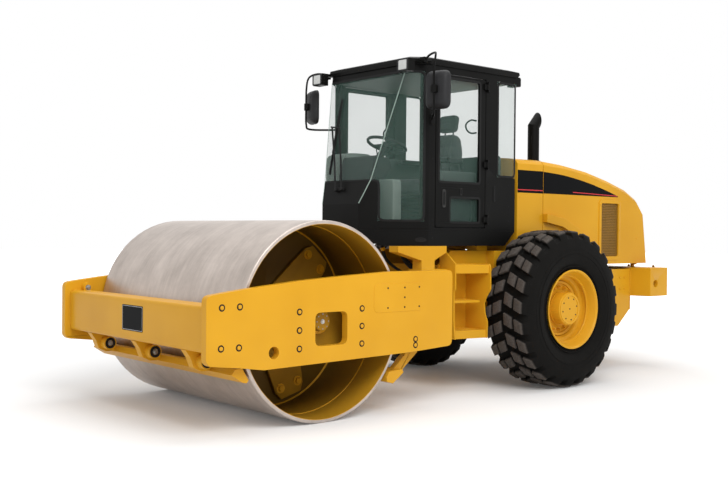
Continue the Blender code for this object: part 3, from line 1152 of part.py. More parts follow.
drum()
yoke_plates()
drum_carriers()
yoke_beams()
scrapers()
hitch()
steering_cylinders()
wheels()
rear_axle()
rear_frame()
bumper()
steps()
cab_shell()
cab_glass()
doors()
cab_inside()
hood()
hood_grilles()
engine_end()
mirrors()
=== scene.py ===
# %% [markdown]
# # A single-drum soil compactor, dressed
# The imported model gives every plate, wheel and joint at its real size. This lesson adds the looks: paint,
# steel, rubber and glass, rounded edges, bolts, lamps, upholstery and the small fittings.
# All lengths are metres, +Z is up, the machine faces -Y and its left side is +X.

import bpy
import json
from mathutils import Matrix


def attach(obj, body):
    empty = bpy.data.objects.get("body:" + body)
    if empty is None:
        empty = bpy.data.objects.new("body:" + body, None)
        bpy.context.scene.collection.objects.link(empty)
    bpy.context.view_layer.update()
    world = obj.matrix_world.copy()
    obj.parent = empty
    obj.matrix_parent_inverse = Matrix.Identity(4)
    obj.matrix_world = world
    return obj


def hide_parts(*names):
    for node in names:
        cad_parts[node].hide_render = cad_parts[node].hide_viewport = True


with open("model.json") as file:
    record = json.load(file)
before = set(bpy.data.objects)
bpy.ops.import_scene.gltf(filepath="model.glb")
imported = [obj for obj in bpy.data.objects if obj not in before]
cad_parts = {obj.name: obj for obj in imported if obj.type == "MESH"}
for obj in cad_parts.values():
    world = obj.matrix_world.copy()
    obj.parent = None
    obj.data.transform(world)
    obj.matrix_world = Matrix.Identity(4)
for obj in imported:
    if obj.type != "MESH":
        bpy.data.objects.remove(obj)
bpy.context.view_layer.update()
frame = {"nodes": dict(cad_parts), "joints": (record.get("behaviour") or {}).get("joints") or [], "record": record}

import json
import math

import bmesh
import bpy
import numpy as np
from mathutils import Matrix, Vector

BODY_OF = {node: body for body, nodes in frame["record"]["behaviour"]["bodies"].items() for node in nodes}
SLOT_OF = {row["node"]: row["material_slot"] for row in frame["record"]["subparts"]}
JOINT = {joint["name"]: joint for joint in frame["joints"]}
DRUM_CENTRE = np.array(JOINT["drum_spin"]["pos_m"], float)
WHEEL_CENTRE = np.array(JOINT["wheel_left_spin"]["pos_m"], float)
DRUM_Y = float(DRUM_CENTRE[1])
SIDES = ((1, "left"), (-1, "right"))
LEFTWARD, FORWARD = (1, 0, 0), (0, -1, 0)
REARWARD, UPWARD = (0, 1, 0), (0, 0, 1)


def back(distance):
    """World y of a place given as a distance rearwards of the drum's axis."""
    return DRUM_Y + distance


def placed(places):
    """World points of places given as (x, distance rearwards of the drum's axis, height)."""
    return np.asarray(places, float) + (0.0, DRUM_Y, 0.0)


# %% [markdown]
# The camera stands where the photographer stood: off the left front corner, at about the driver's waist.
# Its direction is worked out from an azimuth, a small tilt down and a slight roll.

# %% Camera
CAMERA_PLACE = (6.9693, -6.6457, 1.4503)
CAMERA_AZIMUTH, CAMERA_TILT, CAMERA_ROLL = (math.radians(angle) for angle in (49.2387, 0.8296, 0.499))
CAMERA_LENS = 49.43
toward_camera = Vector((math.sin(CAMERA_AZIMUTH) * math.cos(CAMERA_TILT),
                        -math.cos(CAMERA_AZIMUTH) * math.cos(CAMERA_TILT), math.sin(CAMERA_TILT)))
level_right = (-toward_camera).cross(Vector(UPWARD)).normalized()
level_up = level_right.cross(-toward_camera)
camera_right = level_right * math.cos(CAMERA_ROLL) + level_up * math.sin(CAMERA_ROLL)
camera_up = -level_right * math.sin(CAMERA_ROLL) + level_up * math.cos(CAMERA_ROLL)
camera = bpy.data.objects.new("camera", bpy.data.cameras.new("camera"))
camera.data.lens = CAMERA_LENS
camera.data.sensor_width = 36.0
camera_turn = Matrix((camera_right, camera_up, toward_camera)).transposed().to_4x4()
camera.matrix_world = Matrix.Translation(CAMERA_PLACE) @ camera_turn
bpy.context.scene.collection.objects.link(camera)
bpy.context.scene.camera = camera
print("camera at", CAMERA_PLACE, "lens", CAMERA_LENS)

# %% [markdown]
# A shader is a sum of small formulas. The class below wraps a socket so that ordinary arithmetic on it adds
# the Math nodes, and one method adds any other node. A finish then reads like the sentence that describes it.

# %% Shader arithmetic


class Value:
    """A socket that takes part in arithmetic: each operation adds one Math node to its material."""

    def __init__(self, shader, socket):
        self.shader, self.socket = shader, socket

    def math(self, operation, *others):
        return self.shader.node("Math", {"operation": operation}, self, *others)

    def __add__(self, other):
        return self.math("ADD", other)

    def __mul__(self, other):
        return self.math("MULTIPLY", other)

    def __sub__(self, other):
        return self.math("SUBTRACT", other)

    def __rsub__(self, other):
        return self.shader.node("Math", {"operation": "SUBTRACT"}, other, self)

    def __pow__(self, other):
        return self.math("POWER", other)

    __radd__ = __add__
    __rmul__ = __mul__

    def step(self, low, high):
        """0 below low, 1 above high, and a straight line between."""
        return self.shader.node("MapRange", {"clamp": True}, self, low, high)


class Shader:
    """A material's node tree, with its Principled surface."""

    def __init__(self, name, roughness=0.5, metallic=0.0, **constants):
        self.material = bpy.data.materials.new(name)
        self.material.use_nodes = True
        self.tree = self.material.node_tree
        self.surface = self.tree.nodes["Principled BSDF"]
        self.surface.inputs["Roughness"].default_value = roughness
        self.surface.inputs["Metallic"].default_value = metallic
        for socket, value in constants.items():
            self.surface.inputs[socket.replace("_", " ")].default_value = value

    def node(self, kind, settings, *values, out=0, **named):
        """Adds a node, sets it up, then fills its sockets in order and by name, and returns one output."""
        made = self.tree.nodes.new("ShaderNode" + kind)
        for key, value in settings.items():
            setattr(made, key, value)
        for key, value in [*enumerate(values), *named.items()]:
            self.feed(made.inputs[key.replace("_", " ") if isinstance(key, str) else key], value)
        return Value(self, made.outputs[out])

    def feed(self, socket, value):
        """Links a Value to a socket, or sets a constant on it."""
        if isinstance(value, Value):
            self.tree.links.new(value.socket, socket)
        elif value is not None:
            socket.default_value = value

    def place(self):
        """Where the point is on the piece, in metres: the position, then x, y and z."""
        position = self.node("TexCoord", {}, out="Object")
        made = self.tree.nodes.new("ShaderNodeSeparateXYZ")
        self.feed(made.inputs[0], position)
        return position, *(Value(self, made.outputs[axis]) for axis in range(3))

    def noise(self, scale, detail=3.0, vector=None, rough=0.55):
        return self.node("TexNoise", {}, Vector=vector, Scale=scale, Detail=detail, Roughness=rough)

    def stretched(self, position, *factors):
        """The position with each coordinate multiplied, so that noise on it is stretched."""
        return self.node("VectorMath", {"operation": "MULTIPLY"}, position, factors)

    def mix(self, factor, first, second):
        """A colour between two colours."""
        made = self.tree.nodes.new("ShaderNodeMix")
        made.data_type = "RGBA"
        for socket, value in zip((made.inputs[0], made.inputs[6], made.inputs[7]), (factor, first, second)):
            self.feed(socket, (*value, 1.0) if isinstance(value, tuple) and len(value) == 3 else value)
        return Value(self, made.outputs[2])

    def paint(self, **channels):
        """Feeds the surface's own channels."""
        for socket, value in channels.items():
            self.feed(self.surface.inputs[socket.replace("_", " ")], value)
        return self.material

    def bump(self, height, strength, distance):
        """A normal tilted by a height field, whose full height is the distance in metres."""
        return self.node("Bump", {}, Height=height, Strength=strength, Distance=distance)


# %% [markdown]
# The paint is a warm yellow enamel: nearly one colour, with a faint unevenness from the spray gun, a very
# fine orange peel, and a film of dust that thickens towards the ground.

# %% Paints
YELLOW = (0.715, 0.362, 0.016)
YELLOW_DEEP = (0.630, 0.305, 0.011)
BLACK = (0.0042, 0.0042, 0.0040)
DUST = (0.30, 0.23, 0.14)


def enamel(name, colour, deep, roughness, dust, coat=0.08, gloss=0.12):
    """Gloss paint: slow noise in the colour, dust rising from the foot, fine noise as orange peel."""
    shader = Shader(name, Coat_Roughness=0.15, Coat_IOR=1.4, Specular_IOR_Level=gloss)
    position, x, y, z = shader.place()
    drift = shader.noise(1.7, 2.0, position)
    film = (1 - z.step(0.0, 1.1)) * shader.noise(6.0, 4.0, position) * dust
    peel = shader.noise(420.0, 1.0, position)
    base = shader.mix(drift.step(0.3, 0.8), colour, deep)
    return shader.paint(Base_Color=shader.mix(film, base, DUST),
                        Roughness=film * 0.5 + roughness + drift * 0.05,
                        Coat_Weight=coat - film * coat, Normal=shader.bump(peel, 0.08, 0.0004))


yellow_paint = enamel("yellow_paint", YELLOW, YELLOW_DEEP, 0.34, 0.12)
black_paint = enamel("black_paint", BLACK, (0.0075, 0.0075, 0.0070), 0.38, 0.03, 0.0, 0.07)


def drum_enamel_painted_shade():
    """The enamel inside the drum: darker than the body's yellow and darkest on the head behind the arms, which is
    painted shade, with soil noise that darkens the arms in patches.
    """
    shader = Shader("drum_yellow_painted_shade", Coat_Roughness=0.3, Specular_IOR_Level=0.2)
    position, x, y, z = shader.place()
    ahead = (x * x) ** 0.5
    # Painted shade: behind the arms the head takes the darker colour, and both colours are darker than the body's
    # yellow.
    arms = ahead.step(0.385, 0.400)
    soil = shader.noise(5.0, 5.0, position).step(0.25, 0.8)
    shade = shader.mix(arms * (1 - soil * 0.35), (0.120, 0.062, 0.004), (0.420, 0.215, 0.012))
    return shader.paint(Base_Color=shade, Roughness=0.5 + soil * 0.1)


drum_yellow_painted_shade = drum_enamel_painted_shade()
print("paints:", yellow_paint.name, black_paint.name, drum_yellow_painted_shade.name)

# %% [markdown]
# The drum is bare steel, ground smooth by the soil it rolls. The scratches run round it, so the noise is
# stretched along the circumference, and tarnish lies over it in broad bands. Inside the shell the same solid
# is painted, so one mask, the distance from the axle, changes colour, metal and gloss together. The enamel
# inside carries painted shade: it darkens from the drum's open ends towards its middle.

# %% Drum steel
SHELL_INSIDE = 0.741


def rolled_steel():
    """Steel outside the inner radius, enamel with painted shade inside; noise on (angle, place along the axle)
    gives rings.
    """
    shader = Shader("drum_steel", Coat_Roughness=0.2)
    position, x, y, z = shader.place()
    height, along = z - float(DRUM_CENTRE[2]), y - DRUM_Y
    steel = ((height * height + along * along) ** 0.5).step(SHELL_INSIDE - 0.001, SHELL_INSIDE)
    angle = shader.node("Math", {"operation": "ARCTAN2"}, height, along)
    scratch = shader.noise(1.0, 7.0, shader.node("CombineXYZ", {}, x * 230.0, angle * 2.2, 0.0), 0.75)
    streak = shader.noise(1.0, 5.0, shader.node("CombineXYZ", {}, x * 26.0, angle * 2.0, 3.0), 0.6)
    tarnish = shader.noise(1.0, 4.0, shader.node("CombineXYZ", {}, x * 2.6, angle * 1.6, 1.0), 0.6)
    mottle = shader.noise(4.0, 6.0, position, 0.7)
    shade = (scratch.step(0.3, 0.7) * 0.22 + streak.step(0.3, 0.7) * 0.18 + tarnish.step(0.3, 0.7) * 0.40
             + mottle.step(0.3, 0.7) * 0.20)
    metal = shader.mix(shade, (0.305, 0.257, 0.227), (0.730, 0.645, 0.585))
    # Painted shade: the enamel inside the shell darkens from the drum's open ends towards its middle.
    mouth = ((x * x) ** 0.5).step(0.45, 1.04)
    inside = shader.mix(mouth, (0.130, 0.068, 0.004), (0.520, 0.270, 0.014))
    return shader.paint(Base_Color=shader.mix(steel, inside, metal), Metallic=steel * 0.8,
                        Roughness=0.46 - scratch * steel * 0.10, Coat_Weight=0.2 - steel * 0.2,
                        Normal=shader.bump(scratch * steel, 0.30, 0.0005))


drum_steel = rolled_steel()

# %% [markdown]
# Rubber is matt and nearly black. The tips of the lugs have been scuffed grey-brown by the ground, so the
# finish asks how far each point is from the axle.


# %% Rubber
def tyre_rubber():
    """Rubber whose colour turns dusty where the distance from the axle reaches the lugs' tips."""
    shader = Shader("tyre_rubber", Specular_IOR_Level=0.07)
    position, x, y, z = shader.place()
    height, along = z - float(WHEEL_CENTRE[2]), y - float(WHEEL_CENTRE[1])
    radius = (height * height + along * along) ** 0.5
    tip = radius.step(0.712, 0.728)
    scuff = shader.noise(55.0, 6.0, position, 0.75).step(0.25, 0.75)
    grain = shader.noise(260.0, 3.0, position)
    wall = shader.mix(shader.noise(9.0, 4.0, position), (0.0040, 0.0038, 0.0034), (0.0085, 0.0078, 0.0070))
    return shader.paint(Base_Color=shader.mix(tip * (scuff * 0.55 + 0.35), wall, (0.125, 0.108, 0.096)),
                        Roughness=0.60 + grain * 0.2, Normal=shader.bump(grain, 0.3, 0.0008))


rubber = tyre_rubber()

# %% [markdown]
# The other finishes are short formulas too: tinted glass, black moulded plastic with a fine grain, chromed
# rods, a dark casting, woven seat cloth, and the pale lens of a work lamp.


# %% Small finishes
WEAVE, FLUTE = 0.004, 0.008


def tinted_glass():
    """Thin green glass: mostly see-through, with a faint film that dulls it in patches."""
    shader = Shader("tinted_glass", Base_Color=(0.165, 0.290, 0.240, 1.0), IOR=1.45, Specular_IOR_Level=0.5)
    position, x, y, z = shader.place()
    film = shader.noise(2.2, 3.0, position)
    return shader.paint(Alpha=film * 0.03 + 0.085, Roughness=film * 0.04 + 0.01)


def moulded_plastic(name, colour, roughness, grain_scale=900.0, gloss=0.2):
    """Plastic or casting: a colour that drifts, with a fine grain in gloss and surface."""
    shader = Shader(name, Specular_IOR_Level=gloss)
    position, x, y, z = shader.place()
    grain = shader.noise(grain_scale, 2.0, position)
    shade = shader.mix(shader.noise(5.0, 3.0, position), colour, tuple(1.5 * value for value in colour))
    return shader.paint(Base_Color=shade, Roughness=roughness + grain * 0.12,
                        Normal=shader.bump(grain, 0.05, 0.0002))


def polished(name, colour, roughness):
    """Bare metal with faint streaks."""
    shader = Shader(name, metallic=1.0)
    position, x, y, z = shader.place()
    streak = shader.noise(30.0, 4.0, shader.stretched(position, 1.0, 6.0, 6.0))
    return shader.paint(Base_Color=shader.mix(streak, colour, tuple(0.8 * value for value in colour)),
                        Roughness=roughness + streak * 0.08)


def seat_cloth():
    """A plain weave: two crossed sine waves 4 mm apart, one over the other in a chequer."""
    shader = Shader("seat_fabric", Sheen_Weight=0.25)
    position, x, y, z = shader.place()
    waves = 2 * math.pi / WEAVE
    weave = (x * waves).math("SINE") * ((y + z) * waves).math("SINE") * 0.5 + 0.5
    blotch = shader.noise(14.0, 3.0, position)
    cloth = shader.mix(weave * 0.6 + blotch * 0.4, (0.030, 0.034, 0.036), (0.080, 0.088, 0.088))
    return shader.paint(Base_Color=cloth, Roughness=0.82 + weave * 0.1,
                        Normal=shader.bump(weave, 0.5, 0.0008))


def fluted_lens():
    """A lamp's front: upright flutes 8 mm apart in clear plastic over a white reflector."""
    shader = Shader("lamp_lens", Coat_Weight=0.6, Coat_Roughness=0.05)
    position, x, y, z = shader.place()
    flute = (x * (2 * math.pi / FLUTE)).math("SINE") * 0.5 + 0.5
    cloud = shader.noise(25.0, 3.0, position)
    return shader.paint(Base_Color=shader.mix(cloud, (0.50, 0.52, 0.51), (0.66, 0.67, 0.65)),
                        Roughness=0.16 + flute * 0.1, Normal=shader.bump(flute, 0.35, 0.001))


glass = tinted_glass()
lens = fluted_lens()
black_plastic = moulded_plastic("black_plastic", (0.014, 0.014, 0.015), 0.45)
rod_chrome = polished("rod_chrome", (0.66, 0.66, 0.68), 0.12)
bolt_steel = polished("bolt_steel", (0.40, 0.40, 0.39), 0.34)
mirror_silver = polished("mirror_silver", (0.78, 0.80, 0.82), 0.03)
engine_iron = moulded_plastic("engine_iron", (0.040, 0.040, 0.042), 0.55, 300.0)
trim_grey = moulded_plastic("cab_trim", (0.055, 0.066, 0.062), 0.55, 500.0)
# The slot rims' grey is lighter than the black round them: dark grey plastic, partly painted highlight for their
# pale edges.
rim_grey_painted_highlight = moulded_plastic("rim_grey_painted_highlight", (0.022, 0.022, 0.021), 0.35, 700.0, 0.3)
dash_grey = moulded_plastic("dash_grey", (0.13, 0.155, 0.14), 0.50, 500.0)
seal_rubber = moulded_plastic("seal_rubber", (0.007, 0.007, 0.007), 0.62, 700.0)
stripe_red = moulded_plastic("stripe_red", (0.55, 0.035, 0.040), 0.35, 600.0)
glass_edge = moulded_plastic("glass_edge", (0.20, 0.26, 0.23), 0.30, 600.0)
band_black = moulded_plastic("band_black", (0.0040, 0.0042, 0.0046), 0.36, 600.0, 0.03)
# The punched sheet is a dark ochre, darker than the yellow paint: partly painted shade for the dark seen through
# its holes.
grille_sheet_painted_shade = moulded_plastic("grille_sheet_painted_shade", (0.200, 0.100, 0.012), 0.45, 400.0)
seat_fabric = seat_cloth()
MATERIAL = {"yellow_paint": yellow_paint, "black_paint": black_paint, "drum_steel": drum_steel,
            "rod_chrome": rod_chrome, "tyre_rubber": rubber, "tinted_glass": glass,
            "engine_iron": engine_iron, "seat_fabric": seat_fabric, "black_plastic": black_plastic,
            "grille_mesh": grille_sheet_painted_shade}
print(len(MATERIAL), "slots have a finish")

# %% [markdown]
# Real plates never have knife edges: they are cut, rounded and painted, and the edge catches the light. Each
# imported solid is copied, its loose triangles are merged, flat faces become one again, and a Bevel rounds what
# is sharper than a facet of a turned piece. The panes only take their glass, and a few solids are modelled
# anew in later cells.

# %% Rounded copies of the solids
FLAT, SHARP, SOFT, SOFTER = (math.radians(angle) for angle in (0.5, 32, 50, 60))
DOUBLE = 1e-6
ROUNDING = {"yellow_paint": 0.004, "black_paint": 0.003, "drum_steel": 0.002, "tyre_rubber": 0.004,
            "black_plastic": 0.004, "engine_iron": 0.012, "rod_chrome": 0.0015}
ROUNDER = {"yoke_front_beam": 0.011, "yoke_side_left": 0.012, "yoke_side_right": 0.012, "hood": 0.006,
           "rear_bumper": 0.006}


def smooth_by_angle(mesh, angle=SHARP):
    mesh.shade_smooth()
    mesh.set_sharp_from_angle(angle=angle)


def round_edges(piece, width):
    """A Bevel of two segments on every edge that turns more sharply than a facet does."""
    rounding = piece.modifiers.new("rounded edges", "BEVEL")
    rounding.width = width
    rounding.segments = 2
    rounding.limit_method = "ANGLE"
    rounding.angle_limit = SHARP
    return rounding


def settle(piece, body, slot, *nodes):
    """Puts a finished piece in the scene, on its body, and hides the solids that it stands for. The slot is not
    used.
    """
    bpy.context.scene.collection.objects.link(piece)
    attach(piece, body)
    if nodes:
        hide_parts(*nodes)
    return piece


def dressed(node):
    """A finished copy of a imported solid, with its edges rounded, standing for the solid."""
    slot = SLOT_OF[node]
    finish = drum_yellow_painted_shade if node.startswith(("drum_head", "drum_carrier")) else MATERIAL[slot]
    shape = bmesh.new()
    shape.from_mesh(frame["nodes"][node].data)
    bmesh.ops.remove_doubles(shape, verts=shape.verts, dist=10 * DOUBLE)
    bmesh.ops.dissolve_limit(shape, angle_limit=FLAT, verts=shape.verts, edges=shape.edges)
    mesh = bpy.data.meshes.new(node + "_skin")
    shape.to_mesh(mesh)
    shape.free()
    smooth_by_angle(mesh)
    mesh.materials.append(finish)
    skin = bpy.data.objects.new(mesh.name, mesh)
    round_edges(skin, ROUNDER.get(node, ROUNDING[slot])).harden_normals = True
    return settle(skin, BODY_OF[node], slot, node)


PANES = ["windscreen", "rear_glass"]
PANES += [f"{pane}_{side}" for pane in ("corner_glass", "quarter_glass", "door_glass")
          for side in ("left", "right")]
REMADE = ["seat_cushion", "seat_back", "seat_base", "exhaust", "side_grille_left", "side_grille_right",
          "mirror_left", "mirror_right"]
for node, solid in frame["nodes"].items():
    if node in PANES:
        solid.data.materials.clear()
        solid.data.materials.append(glass)
    elif node not in REMADE:
        dressed(node)
print(len(frame["nodes"]) - len(PANES) - len(REMADE), "solids dressed")

# %% [markdown]
# Every new piece is a small formula on whole arrays. A shape is a pair: its points, and blocks of faces that
# number them. Four helpers make nearly everything: an outline pushed along an axis, a profile turned about an
# axis, a section carried along a path, and one shape set down at many places.

# %% Shapes from arrays


def ring_faces(rows, columns, around=True, closed=False):
    """Quads between neighbouring rows of a grid, closing round each row, and from last row to first."""
    row = np.arange(rows if closed else rows - 1)[:, None] * columns
    column = np.arange(columns if around else columns - 1)[None, :]
    ahead, above = (column + 1) % columns, columns
    total = rows * columns
    quads = [row + column, row + ahead, (row + above + ahead) % total, (row + above + column) % total]
    return np.stack(quads, axis=-1).reshape(-1, 4)


def capped(rows, columns):
    """The faces of a tube: quads between neighbouring rows, and one face over each end."""
    loop = np.arange(columns)
    return [ring_faces(rows, columns), loop[None, ::-1], loop[None, :] + (rows - 1) * columns]


def prism(outline, low, high):
    """An outline (u, v) pushed along w from low to high, as points (u, v, w)."""
    outline = np.asarray(outline, float)
    points = np.vstack([np.c_[outline, np.full(len(outline), along)] for along in (low, high)])
    return points, capped(2, len(outline))


def turned(profile, steps=24):
    """A profile (radius, along) turned about w: point = (r cos t, r sin t, along)."""
    profile = np.asarray(profile, float)
    turn = np.linspace(0, 2 * np.pi, steps, endpoint=False)
    points = np.stack([profile[:, :1] * np.cos(turn), profile[:, :1] * np.sin(turn),
                       np.repeat(profile[:, 1:], steps, axis=1)], axis=-1).reshape(-1, 3)
    return points, capped(len(profile), steps)


def ring(profile, steps=48):
    """A closed profile (radius, along) turned about w: a hoop with no ends."""
    return turned(profile, steps)[0], [ring_faces(len(profile), steps, closed=True)]


def circle(radius, steps=10):
    """The points of a circle in a plane."""
    turn = np.linspace(0, 2 * np.pi, steps, endpoint=False)
    return np.c_[radius * np.cos(turn), radius * np.sin(turn)]


def swept(path, section, out=UPWARD, closed=False, scale=None):
    """A section (across, out) carried along a path; across = along x out, kept square to the path."""
    path, section = np.asarray(path, float), np.asarray(section, float)
    if closed:
        along = np.roll(path, -1, axis=0) - np.roll(path, 1, axis=0)
    else:
        along = np.gradient(path, axis=0)
    along /= np.linalg.norm(along, axis=1, keepdims=True)
    across = np.cross(along, np.asarray(out, float))
    across /= np.linalg.norm(across, axis=1, keepdims=True)
    upward = np.cross(across, along)
    size = np.ones(len(path)) if scale is None else np.asarray(scale, float)
    points = path[:, None] + size[:, None, None] * (section[None, :, :1] * across[:, None]
                                                    + section[None, :, 1:] * upward[:, None])
    counts = len(path), len(section)
    return points.reshape(-1, 3), [ring_faces(*counts, closed=True)] if closed else capped(*counts)


def curve(knots, steps=8):
    """A smooth path: between two knots, a cubic whose slope is half the chord around each of them."""
    knots = np.asarray(knots, float)
    padded = np.vstack([2 * knots[0] - knots[1], knots, 2 * knots[-1] - knots[-2]])
    t = np.linspace(0, 1, steps, endpoint=False)[None, :, None]
    before, start, end, after = (padded[i:len(padded) - 3 + i, None] for i in range(4))
    cubic = start + 0.5 * t * (end - before + t * (2 * before - 5 * start + 4 * end - after
                                                   + t * (3 * (start - end) + after - before)))
    return np.vstack([cubic.reshape(-1, knots.shape[1]), knots[-1:]])


def rounded(corners, radius, steps=5):
    """A closed outline with its corners rounded by parabolas, none longer than 0.45 of a side."""
    corners = np.asarray(corners, float)
    before, after = np.roll(corners, 1, axis=0) - corners, np.roll(corners, -1, axis=0) - corners
    lengths = [np.linalg.norm(side, axis=1, keepdims=True) for side in (before, after)]
    reach = [np.minimum(radius, 0.45 * length) / length for length in lengths]
    t = np.linspace(0, 1, steps)[None, :, None]
    start, end = corners + before * reach[0], corners + after * reach[1]
    bend = (1 - t) ** 2 * start[:, None] + 2 * t * (1 - t) * corners[:, None] + t ** 2 * end[:, None]
    return bend.reshape(-1, corners.shape[1])


def rectangle(u_span, v_span):
    return [(u_span[0], v_span[0]), (u_span[1], v_span[0]), (u_span[1], v_span[1]), (u_span[0], v_span[1])]


def facing(shape, direction, place=(0, 0, 0), up=UPWARD):
    """The shape with its w axis turned to a direction and its v axis as near up as it can be, then moved."""
    points, faces = shape
    ahead = np.asarray(direction, float) / np.linalg.norm(direction)
    up = np.array((0.0, 1.0, 0.0)) if abs(np.dot(ahead, up)) > 0.99 else np.asarray(up, float)
    side = np.cross(up, ahead)
    side /= np.linalg.norm(side)
    return points @ np.stack([side, np.cross(ahead, side), ahead]) + np.asarray(place, float), faces


def repeated(shape, places):
    """One shape set down at each place, as one array of points."""
    points, faces = shape
    places = np.asarray(places, float).reshape(-1, 1, 3)
    starts = (np.arange(len(places)) * len(points))[:, None, None]
    blocks = [(block[None] + starts).reshape(-1, block.shape[1]) for block in faces]
    return (points[None] + places).reshape(-1, 3), blocks


def joined(*shapes):
    """Several shapes as one, with the faces of each renumbered."""
    points, faces, start = [], [], 0
    for shape_points, shape_faces in shapes:
        points.append(shape_points)
        faces += [block + start for block in shape_faces]
        start += len(shape_points)
    return np.vstack(points), faces


def mirrored(shape):
    """The shape on the machine's other side."""
    points, faces = shape
    return points * (-1, 1, 1), faces


def both(shape):
    return joined(shape, mirrored(shape))


def sided(sign, shape):
    """A left piece as it is where the sign is 1, and its mirror image where it is -1."""
    return shape if sign > 0 else mirrored(shape)


def standing(shape, place):
    """The shape with its w axis upright and its v axis rearwards, at (x, distance back, height)."""
    return facing(shape, UPWARD, placed(place), up=REARWARD)


def side_wall(outline, x_low, x_high):
    """A side outline of (distance back, height), pushed across the machine between two x places."""
    points, faces = prism(outline, x_low, x_high)
    return np.c_[points[:, 2], back(points[:, 0]), points[:, 1]], faces


def meshed(name, shape):
    """A mesh of a shape, with doubled points merged and its faces turned outwards."""
    points, faces = shape
    mesh = bpy.data.meshes.new(name)
    mesh.from_pydata(points.tolist(), [], [face for block in faces for face in block.tolist()])
    solid = bmesh.new()
    solid.from_mesh(mesh)
    bmesh.ops.remove_doubles(solid, verts=solid.verts, dist=DOUBLE)
    bmesh.ops.recalc_face_normals(solid, faces=solid.faces)
    solid.to_mesh(mesh)
    solid.free()
    return mesh


def build(name, body, slot, shape, material=None, edge=0.0, sharp=SHARP, nodes=()):
    """Turns a shape into a finished piece, shaded smooth by angle, with its edges rounded if asked."""
    mesh = meshed(name, shape)
    smooth_by_angle(mesh, sharp)
    mesh.materials.append(material or MATERIAL[slot])
    piece = bpy.data.objects.new(name, mesh)
    if edge:
        round_edges(piece, edge)
    return settle(piece, body, slot, *nodes)


def trim(name, shape, material=seal_rubber, sharp=SHARP, nodes=()):
    """A moulded piece that rides on the rear chassis."""
    build(name, "rear_chassis", "black_plastic", shape, material, sharp=sharp, nodes=nodes)


# %% [markdown]
# Bolts give the eye its scale. One head is modelled once, six-sided with a chamfer on a round washer, then
# set down at each place in one array. Flush places get a low round head instead.

# %% Bolt heads


def bolt_head(radius, height, washer=1.35):
    """A hexagon with a chamfered top on a round washer, standing along w."""
    rim, low = washer * radius, 0.2 * height
    head = turned([(0.0, 0.0), (radius, 0.0), (radius, 0.78 * height), (0.82 * radius, height),
                   (0.0, height)], 6)
    return joined(head, turned([(0.0, 0.0), (rim, 0.0), (rim, low), (0.0, low)], 16))


def button(radius, height, steps=16):
    """A low round head with a domed top."""
    return turned([(0.0, 0.0), (radius, 0.0), (radius, 0.55 * height), (0.8 * radius, 0.9 * height),
                   (0.0, height)], steps)


def bolts(name, body, places, head, slot="yellow_paint", material=None, out=LEFTWARD, sides=True):
    """One head at each (x, distance back, height) place, facing out, on both sides of the machine."""
    shape = repeated(facing(head, out), placed(places))
    return build(name, body, slot, both(shape) if sides else shape, material)


# The yoke's side plates, whose outer face stands 1.155 from the middle
PLATE_OUT = 1.1553
PLATE_BOLTS = [(-0.966, 0.918), (-0.819, 0.919), (-0.972, 0.637), (-0.825, 0.634)]
PLATE_BOLTS += [(distance, height) for distance in (-0.30, 0.30) for height in (0.86, 0.725, 0.59)]
PLATE_BOLTS += [(0.87, 0.588), (0.87, 0.540)]
plate_spots = [(PLATE_OUT, distance, height) for distance, height in PLATE_BOLTS]
# Round each bolt lies a flat dark ring, hardly proud of the plate: painted shadow for a counterbore.
recess = ring([(0.0160, -0.001), (0.0255, -0.001), (0.0255, 0.0008), (0.0160, 0.0008)], 20)
bolts("plate_bolt_painted_shadow_rings", "drum_yoke", plate_spots, recess, "black_plastic", seal_rubber)
bolts("plate_bolts", "drum_yoke", plate_spots, button(0.0150, 0.006))
COVER = rounded(rectangle((0.421, 0.950), (0.818, 1.044)), 0.05)
cover = side_wall(COVER, PLATE_OUT - 0.002, PLATE_OUT + 0.0022)
build("plate_covers", "drum_yoke", "yellow_paint", both(cover), edge=0.001)
cover_spots = [(PLATE_OUT + 0.002, distance, height) for distance in (0.565, 0.745, 0.905)
               for height in (0.852, 1.008)]
cover_spots.append((PLATE_OUT + 0.002, 0.745, 0.930))
bolts("plate_cover_bolts", "drum_yoke", cover_spots, button(0.0075, 0.003, 10), "black_plastic", seal_rubber)
print(len(plate_spots) + len(cover_spots), "bolts on each side plate")

# %% [markdown]
# The front beam hangs three scraper arms, each on a rubber bush with a plain steel bolt. A sign plate, left
# blank, sits on the beam's face. Weld beads join the beams to the side plates: a bead is a half round whose
# size ripples every 7 mm, the mark of a torch moving in short steps.

# %% Yoke fittings
WELD_RIPPLE = 0.007


def weld(start, end, radius=0.006, out=UPWARD):
    """A half round between two (x, distance back, height) places, with radius times (1 + 0.16 sin)."""
    start, end = placed(start), placed(end)
    count = max(8, int(np.linalg.norm(end - start) / WELD_RIPPLE * 4))
    t = np.linspace(0, 1, count)[:, None]
    ripple = 1 + 0.16 * np.sin(t[:, 0] * count / 4 * 2 * np.pi)
    return swept(start + (end - start) * t, circle(radius, 6), out, scale=ripple)


BEAM_FACE = -1.0453
BUSH_BACK, BUSH_HEIGHT = -0.893, 0.511
bush_spots = [(place + 0.105, BUSH_BACK, BUSH_HEIGHT) for place in (-0.75, 0.0, 0.75)]
scraper_bush = ring([(0.024, -0.002), (0.046, -0.002), (0.044, 0.006), (0.026, 0.006)], 24)
bolts("scraper_bushes", "drum_yoke", bush_spots, scraper_bush, "black_plastic", seal_rubber, sides=False)
bolts("scraper_bolts", "drum_yoke", bush_spots, bolt_head(0.017, 0.014), "rod_chrome", bolt_steel,
      sides=False)
boss = turned([(0.0, 0.0), (0.046, 0.0), (0.040, 0.040), (0.0, 0.040)], 24)
bolts("yoke_inner_bosses", "drum_yoke", [(-1.0905, -0.900, 0.950)], boss)
bolts("yoke_inner_bolts", "drum_yoke", [(-1.0505, -0.900, 0.950)], bolt_head(0.018, 0.014), "rod_chrome",
      bolt_steel)
bolts("rear_scraper_bolts", "drum_yoke", [(1.0300, 1.000, 0.545)], bolt_head(0.014, 0.010))

